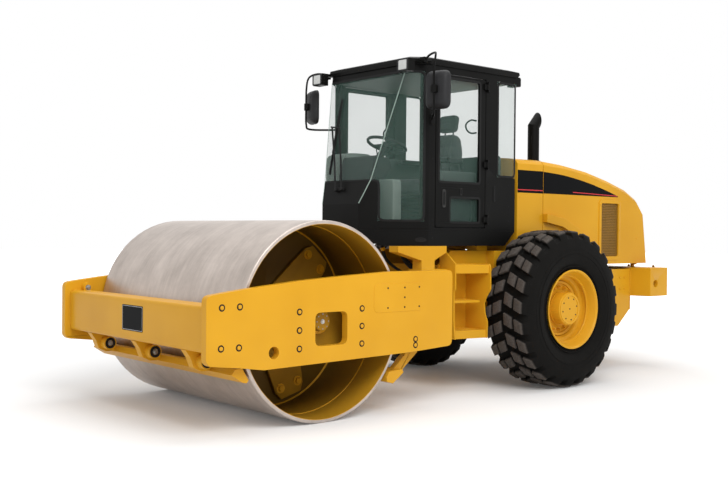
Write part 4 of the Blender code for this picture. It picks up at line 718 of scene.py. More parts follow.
SIGN_X, SIGN_HEIGHT, SIGN_SHEET = 0.0215, 0.772, 0.0016
sign_outline = rounded(rectangle((-0.165, 0.165), (-0.099, 0.099)), 0.012)
plate_face = facing(prism(sign_outline, 0.0, SIGN_SHEET), FORWARD,
                    (SIGN_X, back(BEAM_FACE) + 0.0002, SIGN_HEIGHT))
build("blank_sign_plate", "drum_yoke", "black_paint", plate_face, band_black, edge=0.0005)
plate_line = rounded(rectangle((-0.157, 0.157), (-0.091, 0.091)), 0.010)
line_path = np.c_[SIGN_X - plate_line[:, 0], np.full(len(plate_line), back(BEAM_FACE) - SIGN_SHEET),
                  SIGN_HEIGHT + plate_line[:, 1]]
line_section = [(-0.0012, 0.0), (0.0012, 0.0), (0.0012, 0.0004), (-0.0012, 0.0004)]
build("blank_sign_line", "drum_yoke", "rod_chrome", swept(line_path, line_section, FORWARD, closed=True),
      lens)

# Each bead across a beam's end: where it starts and ends, as distances back, and its height
BEADS = ((-1.015, -0.890, 0.9285), (-1.015, -0.890, 0.5965), (0.885, 1.030, 0.9205), (0.885, 1.030, 0.5995))
welds = [weld((1.090, BEAM_FACE + 0.004, 0.640), (1.090, BEAM_FACE + 0.004, 0.890), out=REARWARD)]
welds += [weld((1.088, start, height), (1.088, end, height)) for start, end, height in BEADS]
build("yoke_welds", "drum_yoke", "yellow_paint", both(joined(*welds)), sharp=SOFTER)
print("yoke fittings from", len(welds), "weld beads a side")

# %% [markdown]
# In the window of each side plate sits the bearing cap, with a ring of small screws and a pale plug. The
# drum's head carries three arms, each held by two large bolts, and a weld runs round inside the shell.

# %% Drum and hub fittings
AXLE_HEIGHT = float(DRUM_CENTRE[2])
ARM_ANGLES, ARM_BOLT_TURN = (46, 166, 286), 8.5
ARM_FACE, CAP_FACE = 0.4055, 1.0465


def on_circle(x, radius, degrees):
    """Places (x, distance back, height) on a circle about the drum's axle."""
    return [(x, radius * np.cos(turn), AXLE_HEIGHT + radius * np.sin(turn)) for turn in np.radians(degrees)]


arm_spots = on_circle(ARM_FACE, 0.600, [angle + sign * ARM_BOLT_TURN for angle in ARM_ANGLES
                                        for sign in (-1, 1)])
bolts("drum_arm_bolts", "drum", arm_spots, bolt_head(0.027, 0.024, 1.5))
bolts("drum_hub_bolts", "drum", on_circle(0.4550, 0.145, np.arange(8) * 45 + 20), bolt_head(0.013, 0.012))
cap_spots = on_circle(CAP_FACE, 0.056, np.arange(8) * 45)
bolts("bearing_cap_screws", "drum_yoke", cap_spots, button(0.0052, 0.004, 8), "rod_chrome", bolt_steel)
bolts("bearing_cap_plugs", "drum_yoke", [(CAP_FACE, 0.0, AXLE_HEIGHT)], bolt_head(0.014, 0.010), "rod_chrome",
      lens)
bolts("bearing_cap_rims", "drum_yoke", [(0.9915, 0.0, AXLE_HEIGHT)],
      ring([(0.073, 0.0), (0.099, 0.0), (0.097, 0.009), (0.075, 0.009)], 32))
inside_welds = ring([(0.7395, 0.772), (0.7330, 0.776), (0.7330, 0.784), (0.7395, 0.788)], 96)
build("drum_inside_welds", "drum", "yellow_paint",
      both(facing(inside_welds, LEFTWARD, (0, DRUM_Y, AXLE_HEIGHT))))
head_welds = ring([(0.7365, 0.3595), (0.7365, 0.3720), (0.7270, 0.3595)], 96)
build("drum_head_welds", "drum", "yellow_paint", both(facing(head_welds, LEFTWARD, (0, DRUM_Y, AXLE_HEIGHT))))
print(len(arm_spots), "arm bolts a side,", len(cap_spots), "cap screws")

# %% [markdown]
# A wheel shows a ring of nuts at the foot of the hub drum, small screws round the hub's face, a lock ring at
# the rim's edge with raised rings along its barrel, and three raised lines moulded in the tyre's wall.

# %% Wheel fittings
WHEEL_X, WHEEL_BACK, WHEEL_HEIGHT = float(WHEEL_CENTRE[0]), 2.90, float(WHEEL_CENTRE[2])
NUTS, HUB_SCREWS, HUB_FACE = 16, 8, 0.2000


def wheel_piece(stem, shape, slot, material=None):
    """A shape modelled about w from the tyre's middle plane, on each wheel."""
    left = facing(shape, LEFTWARD, (WHEEL_X, back(WHEEL_BACK), WHEEL_HEIGHT))
    for sign, side in SIDES:
        build(f"{stem}_{side}", f"wheel_{side}", slot, sided(sign, left), material)


def hub_ring(shape, radius, count, along, start=0.0):
    """One shape at equal turns round the hub, the first at a start angle in degrees."""
    turn = np.radians(start + np.arange(count) * 360 / count)
    return repeated(shape, np.c_[radius * np.cos(turn), radius * np.sin(turn), np.full(count, along)])


wheel_nut = joined(bolt_head(0.0145, 0.022, 1.3),
                   turned([(0.0, 0.0), (0.0075, 0.0), (0.0075, 0.034), (0.0, 0.034)], 8))
wheel_piece("wheel_nuts", hub_ring(wheel_nut, 0.205, NUTS, 0.0605), "yellow_paint")
hub_screw = button(0.0068, 0.005, 10)
hub_screws = joined(hub_ring(hub_screw, 0.105, HUB_SCREWS, HUB_FACE, 12),
                    hub_ring(hub_screw, 0.0, 1, HUB_FACE))
wheel_piece("hub_screws", hub_screws, "black_plastic")
hub_lip = joined(ring([(0.122, 0.198), (0.144, 0.198), (0.142, 0.206), (0.124, 0.206)], 48),
                 ring([(0.1555, 0.085), (0.1625, 0.085), (0.1625, 0.100), (0.1555, 0.100)], 48))
wheel_piece("hub_rings", hub_lip, "yellow_paint")
lock_ring = joined(*(ring(profile, 64) for profile in (
    [(0.372, 0.2395), (0.372, 0.2470), (0.361, 0.2475), (0.352, 0.2380)],
    [(0.318, 0.150), (0.306, 0.150), (0.302, 0.161), (0.307, 0.169), (0.321, 0.168)],
    [(0.304, 0.070), (0.262, 0.059), (0.268, 0.086), (0.281, 0.103), (0.308, 0.112)],
    [(0.262, 0.059), (0.231, 0.059), (0.236, 0.074), (0.257, 0.080)])))
wheel_piece("rim_rings", lock_ring, "yellow_paint")
wall_lines = joined(ring([(0.512, 0.2600), (0.520, 0.2600), (0.518, 0.2672), (0.514, 0.2672)], 96),
                    ring([(0.400, 0.2415), (0.410, 0.2415), (0.407, 0.2505), (0.402, 0.2480)], 96),
                    ring([(0.556, 0.2570), (0.560, 0.2570), (0.560, 0.2640), (0.557, 0.2640)], 96))
wheel_piece("tyre_wall_lines", wall_lines, "tyre_rubber")
print(NUTS, "nuts and", HUB_SCREWS + 1, "screws a wheel")

# %% [markdown]
# The boarding steps are plated with raised studs so that a boot doesn't slip. A small hook for a rope stands
# in the bay behind the middle tread, and weld beads join the treads and the tail to the frame.

# %% Step treads
STUD_PITCH = 0.026
# The studded part of each tread: its spans across and back, and its height
STEP_TOPS = (((0.545, 0.700), (1.80, 2.10), 0.5620), ((0.545, 0.690), (1.80, 2.04), 0.8343),
             ((0.545, 0.710), (1.80, 2.10), 1.1583))
stud = turned([(0.0, 0.0), (0.0075, 0.0), (0.0045, 0.0045), (0.0, 0.005)], 8)
studs = []
for x_span, b_span, top in STEP_TOPS:
    across, along = np.meshgrid(np.arange(*x_span, STUD_PITCH), np.arange(*b_span, STUD_PITCH))
    shift = (np.arange(along.shape[0]) % 2)[:, None] * STUD_PITCH / 2
    studs.append(repeated(stud, np.c_[(across + shift).ravel(), back(along.ravel()),
                                      np.full(across.size, top - 0.0005)]))
build("step_studs", "rear_chassis", "yellow_paint", both(joined(*studs)))
HOOK_KNOTS = ((0.5205, 2.20, 0.960), (0.548, 2.20, 0.960), (0.562, 2.20, 0.930), (0.548, 2.20, 0.900),
              (0.5205, 2.20, 0.900))
hook = swept(curve(placed(HOOK_KNOTS)), circle(0.007, 8), REARWARD)
build("step_hooks", "rear_chassis", "yellow_paint", both(hook))
step_welds = [weld((0.5225, 1.790, top), (0.5225, 2.10, top), 0.005) for top in (0.564, 0.836, 1.160)]
frame_welds = [weld((0.5225, 2.4003, 0.52), (0.5225, 2.4003, 1.25), out=REARWARD),
               weld((0.6215, 4.6005, 0.63), (0.6215, 4.6005, 1.06), out=REARWARD)]
build("frame_welds", "rear_chassis", "yellow_paint", both(joined(*step_welds, *frame_welds)), sharp=SOFTER)
print(sum(len(points) for points, faces in studs) // len(stud[0]), "studs a side")

# %% [markdown]
# Steel pipes fill the space under the cab's front, over the steering cylinders. Each pipe is one smooth curve
# through a few knots with a round section, and each end has a nut.

# %% Pipes under the cab
# Knots of each pipe as (x, distance back, height)
PIPES = (((0.36, 1.775, 1.040), (0.36, 1.62, 1.090), (0.33, 1.50, 1.200), (0.34, 1.45, 1.322)),
         ((0.29, 1.775, 1.060), (0.29, 1.66, 1.130), (0.26, 1.56, 1.230), (0.25, 1.52, 1.322)),
         ((0.20, 1.775, 1.030), (0.20, 1.60, 1.080), (0.16, 1.45, 1.190), (0.17, 1.38, 1.322)),
         ((-0.14, 1.775, 1.040), (-0.14, 1.62, 1.100), (-0.20, 1.50, 1.210), (-0.22, 1.46, 1.322)),
         ((-0.30, 1.775, 1.055), (-0.30, 1.64, 1.120), (-0.33, 1.55, 1.220), (-0.34, 1.52, 1.322)))
pipes, nuts = [], []
for knots in PIPES:
    path = curve(placed(knots), 10)
    pipes.append(swept(path, circle(0.014, 10), LEFTWARD))
    nuts.append(swept(path[:3], circle(0.021, 6), LEFTWARD))
    nuts.append(swept(path[-4:-1], circle(0.021, 6), LEFTWARD))
trim("cab_pipes", joined(*pipes))
build("cab_pipe_nuts", "rear_chassis", "yellow_paint", joined(*nuts))
print(len(PIPES), "pipes under the cab")

# %% [markdown]
# Every pane sits in a rubber seal. A seal is a flat section carried along a line with rounded corners, closed
# or open. The slanted corner panes use lines of the same kind, mapped onto their own plane.

# %% Window seals
CAB_SIDE, PROUD = 0.650, 0.0002
B_POST, CAB_FLOOR = 1.500, 1.467
SLANT = math.radians(39.4)
FRONT_LINE = np.array([(0.0, 0.482), (0.226, 0.482), (0.433, 0.400), (1.403, 0.168), (1.463, 0.154)])
SEAL = [(-0.011, 0.0), (-0.008, 0.0035), (0.008, 0.0035), (0.011, 0.0)]


def front_back(height):
    """Distance back of the cab's front face at a height."""
    return B_POST - np.interp(np.asarray(height) - CAB_FLOOR, FRONT_LINE[:, 0], FRONT_LINE[:, 1])


def on_side(outline, x=CAB_SIDE):
    """The points (distance back, height) on a plane across the machine."""
    outline = np.asarray(outline, float)
    return np.c_[np.full(len(outline), x), back(outline[:, 0]), outline[:, 1]]


def on_corner(outline):
    """The points (distance back, height) on the slanted plane of the cab's front corner."""
    outline = np.asarray(outline, float)
    return np.c_[CAB_SIDE - (B_POST - outline[:, 0]) * math.tan(SLANT), back(outline[:, 0]), outline[:, 1]]


def on_front(outline):
    """The points (x, height) on the cab's front face."""
    outline = np.asarray(outline, float)
    return np.c_[outline[:, 0], back(front_back(outline[:, 1])), outline[:, 1]]


def seal(path, out):
    """The seal's section carried round a closed path."""
    return swept(path, SEAL, out, closed=True)


CORNER_OUT = (math.cos(SLANT), -math.sin(SLANT), 0)


def bent(corners, radius, steps=5):
    """An open line with its inner corners rounded."""
    return np.vstack([corners[:1], rounded(corners, radius, steps)[steps:-steps], corners[-1:]])


def slab(outline, depth):
    """A flat outline in space, given a thickness along a vector."""
    outline = np.asarray(outline, float)
    return np.vstack([outline, outline + np.asarray(depth, float)]), capped(2, len(outline))


WAIST_RAIL, HEAD_RAIL = 1.9005, 2.8695
corner_edge = np.array([(front_back(WAIST_RAIL) + 0.010, WAIST_RAIL + 0.004), (1.158, 1.896),
                        (1.158, 1.549), (1.466, 1.549), (1.466, 2.866), (front_back(2.866) + 0.010, 2.866)])
trim("corner_seals", both(swept(on_corner(bent(corner_edge, 0.045)), SEAL, CORNER_OUT)))
screen_low = [(-0.315, WAIST_RAIL + 0.004), (0.315, WAIST_RAIL + 0.004)]
screen_top = [(-0.505, HEAD_RAIL - 0.004), (0.505, HEAD_RAIL - 0.004)]
trim("windscreen_seals",
     joined(*(swept(on_front(line), SEAL, (0, -1, 0.2)) for line in (screen_low, screen_top))))
side_seal = seal(on_side(rounded(rectangle((2.400, 2.640), (1.980, 2.860)), 0.04), CAB_SIDE + PROUD),
                 LEFTWARD)
trim("quarter_seals", both(side_seal))
# Distances back and heights of the two panes of a door
DOOR_PANES = (((1.765, 2.157), (1.538, 1.765)), ((1.624, 2.157), (1.900, 2.834)))
door_seals = joined(*(seal(on_side(rounded(rectangle(*spans), 0.030), CAB_SIDE + 0.0003), LEFTWARD)
                      for spans in DOOR_PANES))
for sign, side in SIDES:
    build(f"door_seals_{side}", f"door_{side}_panel", "black_plastic", sided(sign, door_seals), seal_rubber)
joint_heights = np.linspace(1.700, 2.862, 12)
joint_backs = front_back(joint_heights)
corner_joint = np.c_[CAB_SIDE - (B_POST - joint_backs) * math.tan(SLANT), back(joint_backs), joint_heights]
joint_section = [(-0.005, -0.001), (-0.004, 0.0025), (0.004, 0.0025), (0.005, -0.001)]
trim("corner_joints", both(swept(corner_joint, joint_section, (0.5, -0.9, 0.0))), glass_edge)
sill = np.array([(1.130, 1.492), (B_POST, 1.492)])
sill_section = [(-0.009, 0.0), (-0.009, 0.004), (0.009, 0.004), (0.009, 0.0)]
build("sill_strips", "rear_chassis", "black_paint", both(swept(on_corner(sill), sill_section, CORNER_OUT)),
      edge=0.001)
print("seal section", SEAL)

# %% [markdown]
# Lamps, mirrors and rounded covers are all lofts: one rounded outline drawn at several levels, each with its
# own size. A mirror's shell is a dome, so its outline shrinks as a quarter circle; a lamp's lens hardly does.

# %% Lofts


def loft(outline, levels):
    """An outline (u, v) drawn at each level (size across, size up, along) and closed at both ends."""
    outline, levels = np.asarray(outline, float), np.asarray(levels, float)
    points = np.stack([outline[None, :, 0] * levels[:, :1], outline[None, :, 1] * levels[:, 1:2],
                       np.repeat(levels[:, 2:], len(outline), axis=1)], axis=-1).reshape(-1, 3)
    return points, capped(len(levels), len(outline))


def dome(outline, depth, flat=0.55, steps=7):
    """A loft whose outline shrinks from 1 to flat as the cosine while its level rises as the sine."""
    t = np.linspace(0, np.pi / 2, steps)
    size = flat + (1 - flat) * np.cos(t)
    return loft(outline, np.c_[size, size, depth * np.sin(t)])


def pillow(u_half, v_half, depth, corner, edge):
    """A block with rounded corners in its outline and both of its rims rounded by an edge radius."""
    outline = rounded(rectangle((-u_half, u_half), (-v_half, v_half)), corner)
    t = np.linspace(0, np.pi / 2, 5)
    inset, rise = edge * (1 - np.sin(t)), edge * (1 - np.cos(t))
    across, up = 1 - inset / u_half, 1 - inset / v_half
    low = np.c_[across, up, rise]
    top = np.c_[across[::-1], up[::-1], depth - rise[::-1]]
    return loft(outline, np.vstack([low, top]))


print("a dome of", len(dome(circle(1, 12), 1)[0]), "points")

# %% [markdown]
# A mirror is a dark domed shell on a bent steel tube, with a clamp at the middle of its back and silvered
# glass on the side that the driver sees. The tube leaves the roof, passes in front and returns to the post.

# %% Mirrors
MIRROR_X, MIRROR_Z, MIRROR_RIM = 0.868, 2.672, 1.392
AIM = np.array((math.sin(math.radians(16)), -math.cos(math.radians(16)), 0.0))
HEAD = np.array((MIRROR_X, back(MIRROR_RIM), MIRROR_Z))
shell_outline = rounded(rectangle((-0.116, 0.116), (-0.166, 0.166)), 0.065, 7)
TUBE_KNOTS = ((0.655, 1.520, 2.448), (0.700, 1.480, 2.445), (0.862, 1.335, 2.452), (0.892, 1.312, 2.500),
              (0.892, 1.308, 2.672), (0.892, 1.312, 2.860), (0.885, 1.335, 2.960), (0.830, 1.380, 2.995),
              (0.740, 1.400, 2.985), (0.690, 1.400, 2.950))
RIM_LEVELS = [(1, 1, 0), (1, 1, 0.006), (0.93, 0.95, 0.006), (0.93, 0.95, 0.0045)]
mirror_shell = facing(dome(shell_outline, 0.062, 0.60), AIM, HEAD)
mirror_rim = facing(loft(shell_outline, RIM_LEVELS), -AIM, HEAD + 0.001 * AIM)
mirror_glass = facing(prism(shell_outline * (0.925, 0.945), 0.0, 0.002), -AIM, HEAD - 0.0036 * AIM)
tube_path = curve(placed(TUBE_KNOTS), 8)
mirror_tube = swept(tube_path, circle(0.0095, 10), (0, 0.3, 1))
barrel = turned([(0.0, -0.034), (0.019, -0.034), (0.019, 0.034), (0.0, 0.034)], 14)
clamp = joined(facing(pillow(0.026, 0.034, 0.042, 0.010, 0.004), AIM, HEAD + 0.056 * AIM),
               facing(barrel, UPWARD, HEAD + 0.087 * AIM))
screw = facing(button(0.009, 0.005, 12), AIM, HEAD + 0.0555 * AIM + np.array((0.045, 0.012, -0.055)))
post_place, roof_place = (CAB_SIDE + 0.0005, back(1.520), 2.448), (0.672, back(1.400), 2.928)
brackets = joined(facing(pillow(0.022, 0.045, 0.022, 0.006, 0.003), LEFTWARD, post_place),
                  facing(pillow(0.030, 0.022, 0.050, 0.006, 0.003), UPWARD, roof_place))
for sign, side in SIDES:
    trim(f"mirror_shell_{side}", sided(sign, joined(mirror_shell, mirror_rim)), black_plastic, SOFT,
         [f"mirror_{side}"])
    build(f"mirror_arm_{side}", "rear_chassis", "black_paint",
          sided(sign, joined(mirror_tube, clamp, screw, brackets)))
    build(f"mirror_glass_{side}", "rear_chassis", "rod_chrome", sided(sign, mirror_glass), mirror_silver)
print("mirror tube", round(float(np.linalg.norm(np.diff(tube_path, axis=0), axis=1).sum()), 3), "m long")

# %% [markdown]
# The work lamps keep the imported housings. Each gets a black rim and a white fluted lens; the lens is slightly
# domed, as a moulded one is.

# %% Lamps
# Half width, half height, the way it faces, and its place as (x, distance back, height)
LAMPS = ((0.066, 0.053, FORWARD, (0.600, 1.2195, 2.900)), (0.051, 0.043, REARWARD, (0.580, 2.7355, 2.900)))


def lamp_front(half_width, half_height):
    """A lamp's rim and its slightly domed lens."""
    outline = rounded(rectangle((-half_width, half_width), (-half_height, half_height)), 0.014)
    rim = loft(outline, [(1, 1, 0), (1, 1, 0.010), (0.83, 0.83, 0.010), (0.80, 0.80, 0.003)])
    return rim, dome(outline * 0.82, 0.0065, 0.85, 5)


lamp_rims, lamp_lenses = [], []
for half_width, half_height, direction, (x, distance, height) in LAMPS:
    rim, front = lamp_front(half_width, half_height)
    lamp_rims.append(facing(rim, direction, (x, back(distance), height)))
    lamp_lenses.append(facing(front, direction, (x, back(distance) + 0.002 * direction[1], height)))
trim("lamp_rims", both(joined(*lamp_rims)), black_plastic)
build("lamp_lenses", "rear_chassis", "tinted_glass", both(joined(*lamp_lenses)), lens, sharp=SOFTER)
print(2 * len(lamp_rims), "work lamps")

# %% [markdown]
# The wiper has two long arms on a block below the screen; they carry a blade that stands nearly upright at
# the screen's far side. Arms and blade follow the screen's own plane, a finger's width in front of it.

# %% Wiper


def before_screen(points, gap):
    """Places (x, height) on the front of the cab, held a gap in front of it."""
    points = np.asarray(points, float)
    return np.c_[points[:, 0], back(front_back(points[:, 1])) - gap, points[:, 1]]


ARM_ROOTS = ((-0.020, 1.832), (-0.100, 1.826))
ARM_ENDS = ((-0.240, 2.410), (-0.345, 2.425))
arm_lines = [[root, (0.55 * root[0] + 0.45 * end[0], 2.10), end] for root, end in zip(ARM_ROOTS, ARM_ENDS)]
arms = [swept(before_screen(line, 0.026), circle(0.0085, 8), FORWARD) for line in arm_lines]
yoke_bar = swept(before_screen([(-0.225, 2.408), (-0.360, 2.428)], 0.026), circle(0.0080, 6), FORWARD)
blade_section = [(-0.006, -0.011), (-0.002, 0.010), (0.002, 0.010), (0.006, -0.011)]
blade = swept(before_screen([(-0.262, 1.975), (-0.278, 2.33), (-0.292, 2.690)], 0.012), blade_section,
              FORWARD)
blade_spine = swept(before_screen([(-0.270, 2.18), (-0.280, 2.36), (-0.288, 2.58)], 0.022), circle(0.005, 6),
                    FORWARD)
pivot = turned([(0.0, 0.0), (0.017, 0.0), (0.017, 0.030), (0.012, 0.036), (0.0, 0.036)], 14)
pivots = [facing(pivot, (0, -1, 0.05), before_screen([root], 0.0)[0]) for root in ARM_ROOTS]
housing = facing(pillow(0.062, 0.016, 0.014, 0.010, 0.004), (0, -1, 0.1),
                 before_screen([(-0.061, 1.832)], 0.0)[0])
trim("wiper", joined(*arms, yoke_bar, blade, blade_spine, *pivots, housing))
print("wiper arms reach", max(height for x, height in ARM_ENDS), "m")

# %% [markdown]
# Door handles are slots: a raised rim round a dark recess with a grip bar. The oval in the skirt is a vent
# with a rim. The catches inside the doors are bent rods.

# %% Handles and catches


def slot_rim(half_width, half_height):
    """A raised rim round a recess, as a loft that rises, turns inwards and falls back."""
    outline = rounded(rectangle((-half_width, half_width), (-half_height, half_height)), half_width * 0.9)
    return loft(outline, [(1.25, 1.07, 0), (1.20, 1.06, 0.0045), (0.98, 0.99, 0.0045), (0.90, 0.97, 0.0008)])


def slot_grip(half_width, half_height):
    """The upright grip in the middle of a slot."""
    return facing(pillow(half_width * 0.38, half_height * 0.78, 0.008, 0.003, 0.0015), UPWARD, up=REARWARD)


# Distance back, height, half width and half height
DOOR_SLOTS = ((1.690, 1.754, 0.018, 0.076), (1.909, 1.820, 0.009, 0.030))
MASK = [(1.6245, 1.5385), (1.765, 1.5385), (1.765, 1.765), (2.1565, 1.765), (2.1565, 1.8495),
        (1.6245, 1.8495)]
CATCH_KNOTS = ((0.607, 2.15, 2.375), (0.585, 2.10, 2.370), (0.570, 2.06, 2.400), (0.570, 2.05, 2.450),
               (0.585, 2.10, 2.490), (0.607, 2.15, 2.485))


def door_parts(part):
    """One part of the handle, made and placed for each slot of the left door."""
    return joined(*(facing(part(*halves), LEFTWARD, (CAB_SIDE + PROUD, back(distance), height))
                    for distance, height, *halves in DOOR_SLOTS))


door_rims, door_bars = door_parts(slot_rim), door_parts(slot_grip)
lower_mask = side_wall(MASK, 0.6320, CAB_SIDE - PROUD)
catch = swept(curve(placed(CATCH_KNOTS), 5), circle(0.008, 8), (1, 0, 0.2))
fitted = joined(door_bars, catch)
for sign, side in SIDES:
    build(f"door_rims_{side}", f"door_{side}_panel", "black_plastic", sided(sign, door_rims), rim_grey_painted_highlight)
    build(f"door_mask_{side}", f"door_{side}_panel", "black_paint", sided(sign, lower_mask))
    build(f"door_fittings_{side}", f"door_{side}_panel", "black_plastic", sided(sign, fitted), seal_rubber)
rear_slot = facing(slot_rim(0.014, 0.068), LEFTWARD, (CAB_SIDE + PROUD, back(2.362), 1.815))
vent_levels = [(0.052, 0.022, 0), (0.050, 0.020, 0.004), (0.040, 0.012, 0.004), (0.038, 0.010, 0.001)]
vent = facing(loft(circle(1, 24), vent_levels), CORNER_OUT, on_corner([(1.447, 1.381)])[0])
trim("cab_slots", both(joined(rear_slot, vent)))
side_screws = [(CAB_SIDE, distance, height) for distance in (2.266, 2.560)
               for height in (1.560, 1.700, 1.900)]
side_screws += [(CAB_SIDE, 1.545, height) for height in (1.400, 1.560, 2.100, 2.500, 2.800)]
bolts("cab_screws", "rear_chassis", side_screws, button(0.006, 0.0035, 10), "black_plastic", seal_rubber)
print(len(DOOR_SLOTS), "slots a door,", len(side_screws), "screws a side")

# %% [markdown]
# Inside, a moulded hood covers the far half of the dashboard, a pale box houses the heater ahead of the seat,
# and the walls are lined to the windows' foot. All of it is seen through glass, so the forms are simple but
# rounded, with a grain.

# %% Cab lining
ROOF_UNDERSIDE, MAT_FOOT, SHEET = 2.862, 1.4685, 0.006
dash = [standing(pillow(0.215, 0.16, 0.30, 0.10, 0.06), (-0.360, 1.43, 1.885)),
        facing(pillow(0.115, 0.19, 0.10, 0.03, 0.012), FORWARD, (0.300, back(1.39), 1.73))]
trim("dash_hood", joined(*dash), dash_grey, SOFT)
lining = [standing(pillow(0.060, 0.24, 0.22, 0.03, 0.015), (0.385, 2.10, 1.80)),
          standing(pillow(0.080, 0.42, 0.37, 0.05, 0.020), (-0.425, 1.96, 1.80)),
          facing(pillow(0.50, 0.36, 0.05, 0.04, 0.015), FORWARD, (0.0, back(2.625), 1.835))]
trim("cab_lining", joined(*lining), trim_grey, SOFT)
legs = [standing(pillow(0.058, 0.20, 0.33, 0.02, 0.008), (x, 2.08, 1.468)) for x in (-0.425, 0.385)]
trim("console_feet", joined(*legs), black_plastic)
roof_corners = [(-0.52, 1.42), (0.52, 1.42), (0.60, 2.56), (-0.60, 2.56)]
roof_lining = slab([(x, back(distance), ROOF_UNDERSIDE) for x, distance in roof_corners], (0, 0, SHEET))
trim("roof_lining", roof_lining, trim_grey)
mat_corners = [(-0.28, 1.12), (0.28, 1.12), (0.55, 1.46), (0.55, 1.72), (-0.55, 1.72), (-0.55, 1.46)]
mat = slab([(x, back(distance), MAT_FOOT) for x, distance in mat_corners], (0, 0, SHEET))
trim("floor_mat", mat)
# Each lever: x, distance back, height of its foot and how far its knob leans forwards
LEVERS = ((0.385, 1.93, 2.015, 0.04), (0.385, 2.03, 2.015, 0.02), (-0.425, 1.85, 2.165, 0.03))
knob = turned([(0.0, -0.018), (0.012, -0.014), (0.018, 0.0), (0.014, 0.016), (0.0, 0.022)], 12)
gaiter = turned([(0.022, 0.0), (0.020, 0.010), (0.010, 0.022), (0.0, 0.022)], 12)
levers = []
for x, distance, base, lean in LEVERS:
    foot, top = placed([(x, distance, base), (x, distance - lean, base + 0.12)])
    levers += [swept([foot, top], circle(0.006, 8), LEFTWARD), facing(knob, UPWARD, top),
               facing(gaiter, UPWARD, foot)]
pedals = [facing(pillow(0.040, 0.050, 0.012, 0.012, 0.003), (0, -0.5, 1), (x, back(1.235), 1.545))
          for x in (-0.15, 0.0, 0.15)]
trim("levers_and_pedals", joined(*levers, *pedals))
print(len(lining), "linings and", len(LEVERS), "levers")

# %% [markdown]
# A seat on a machine like this rides on a bellows: a ribbed rubber skirt over its springs. Its outline is a
# rounded square whose size ripples with height, so one loft makes it.

# %% Seat base
FLOOR_TOP, BELLOWS_FOOT, BELLOWS_TOP, RIBS = 1.4675, 1.555, 1.772, 6
SEAT_BACK = 2.02
ripple_at = np.linspace(0, 1, 8 * RIBS + 1)
rib = 1 - 0.055 * (0.5 + 0.5 * np.cos(2 * np.pi * RIBS * ripple_at))
bellows_outline = rounded(rectangle((-0.215, 0.215), (-0.235, 0.235)), 0.06)
bellows_levels = np.c_[rib, rib, BELLOWS_FOOT + ripple_at * (BELLOWS_TOP - BELLOWS_FOOT)]
bellows = standing(loft(bellows_outline, bellows_levels), (0, SEAT_BACK, 0))
foot_plate = standing(pillow(0.215, 0.245, BELLOWS_FOOT - FLOOR_TOP, 0.03, 0.010), (0, SEAT_BACK, FLOOR_TOP))
top_plate = standing(pillow(0.210, 0.235, 0.0265, 0.03, 0.006), (0, SEAT_BACK, BELLOWS_TOP))
trim("seat_bellows", bellows, sharp=SOFTER, nodes=["seat_base"])
trim("seat_plates", joined(foot_plate, top_plate), black_plastic)
print(RIBS, "ribs on the bellows")

# %% [markdown]
# A cushion is foam under sewn cloth: it bulges between its seams and its sides pull in between the corners.
# The form starts as a rounded block, slightly small. It is remeshed evenly, blown up as cloth by a little
# pressure, and no point may move further than a set cap. The seams are pressed in afterwards as narrow
# channels, each a bell curve of the distance to a line, because a fine groove would be lost by remeshing.

# %% Padded pieces
VOXEL, FRAMES, PRESSURE, FILL = 0.010, 20, 4.0, 0.6


def evaluated(piece):
    """The points of a piece after its modifiers."""
    shaped = piece.evaluated_get(bpy.context.evaluated_depsgraph_get()).to_mesh()
    points = np.empty(len(shaped.vertices) * 3)
    shaped.vertices.foreach_get("co", points)
    return points.reshape(-1, 3)


def remeshed(name, shape):
    """An even mesh of small squares over a shape."""
    block = bpy.data.objects.new(name + "_block", meshed(name + "_block", shape))
    bpy.context.scene.collection.objects.link(block)
    even = block.modifiers.new("even", "REMESH")
    even.mode, even.voxel_size = "VOXEL", VOXEL
    fine = bpy.data.meshes.new_from_object(block.evaluated_get(bpy.context.evaluated_depsgraph_get()))
    fine.name = name
    bpy.data.objects.remove(block)
    return bpy.data.objects.new(name, fine)


def cushion(name, shape, cap, seams, along, node=None):
    piece = remeshed(name, shape)
    scene = bpy.context.scene
    scene.collection.objects.link(piece)
    count = len(piece.data.vertices)
    start = np.empty(count * 3)
    piece.data.vertices.foreach_get("co", start)
    start = start.reshape(-1, 3)
    cloth = piece.modifiers.new("cloth", "CLOTH")
    cloth.settings.use_pressure = True
    cloth.settings.uniform_pressure_force = PRESSURE
    cloth.settings.effector_weights.gravity = 0.0
    cloth.point_cache.frame_end = FRAMES
    for step in range(1, FRAMES + 1):
        scene.frame_set(step)
    moved = evaluated(piece) - start
    piece.modifiers.remove(cloth)
    scene.frame_set(1)
    length = np.linalg.norm(moved, axis=1, keepdims=True)
    start = start + moved * np.minimum(1.0, cap / np.maximum(length, 1e-9))
    piece.data.vertices.foreach_set("co", start.ravel())
    piece.data.update()
    normals = np.empty(count * 3)
    piece.data.vertex_normals.foreach_get("vector", normals)
    normals = normals.reshape(-1, 3)
    press = sum(depth * np.exp(-((start @ np.asarray(line, float) - offset) / width) ** 2)
                for line, offset, width, depth in seams)
    facing_out = np.clip(normals @ np.asarray(along, float), 0, 1)
    piece.data.vertices.foreach_set("co", (start - normals * (press * facing_out)[:, None]).ravel())
    piece.data.update()
    smooth_by_angle(piece.data, math.radians(80))
    piece.data.materials.clear()
    piece.data.materials.append(seat_fabric)
    smoother = piece.modifiers.new("smooth", "SUBSURF")
    smoother.levels = smoother.render_levels = 1
    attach(piece, "rear_chassis")
    if node:
        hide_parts(node)
    print(name, count, "points")


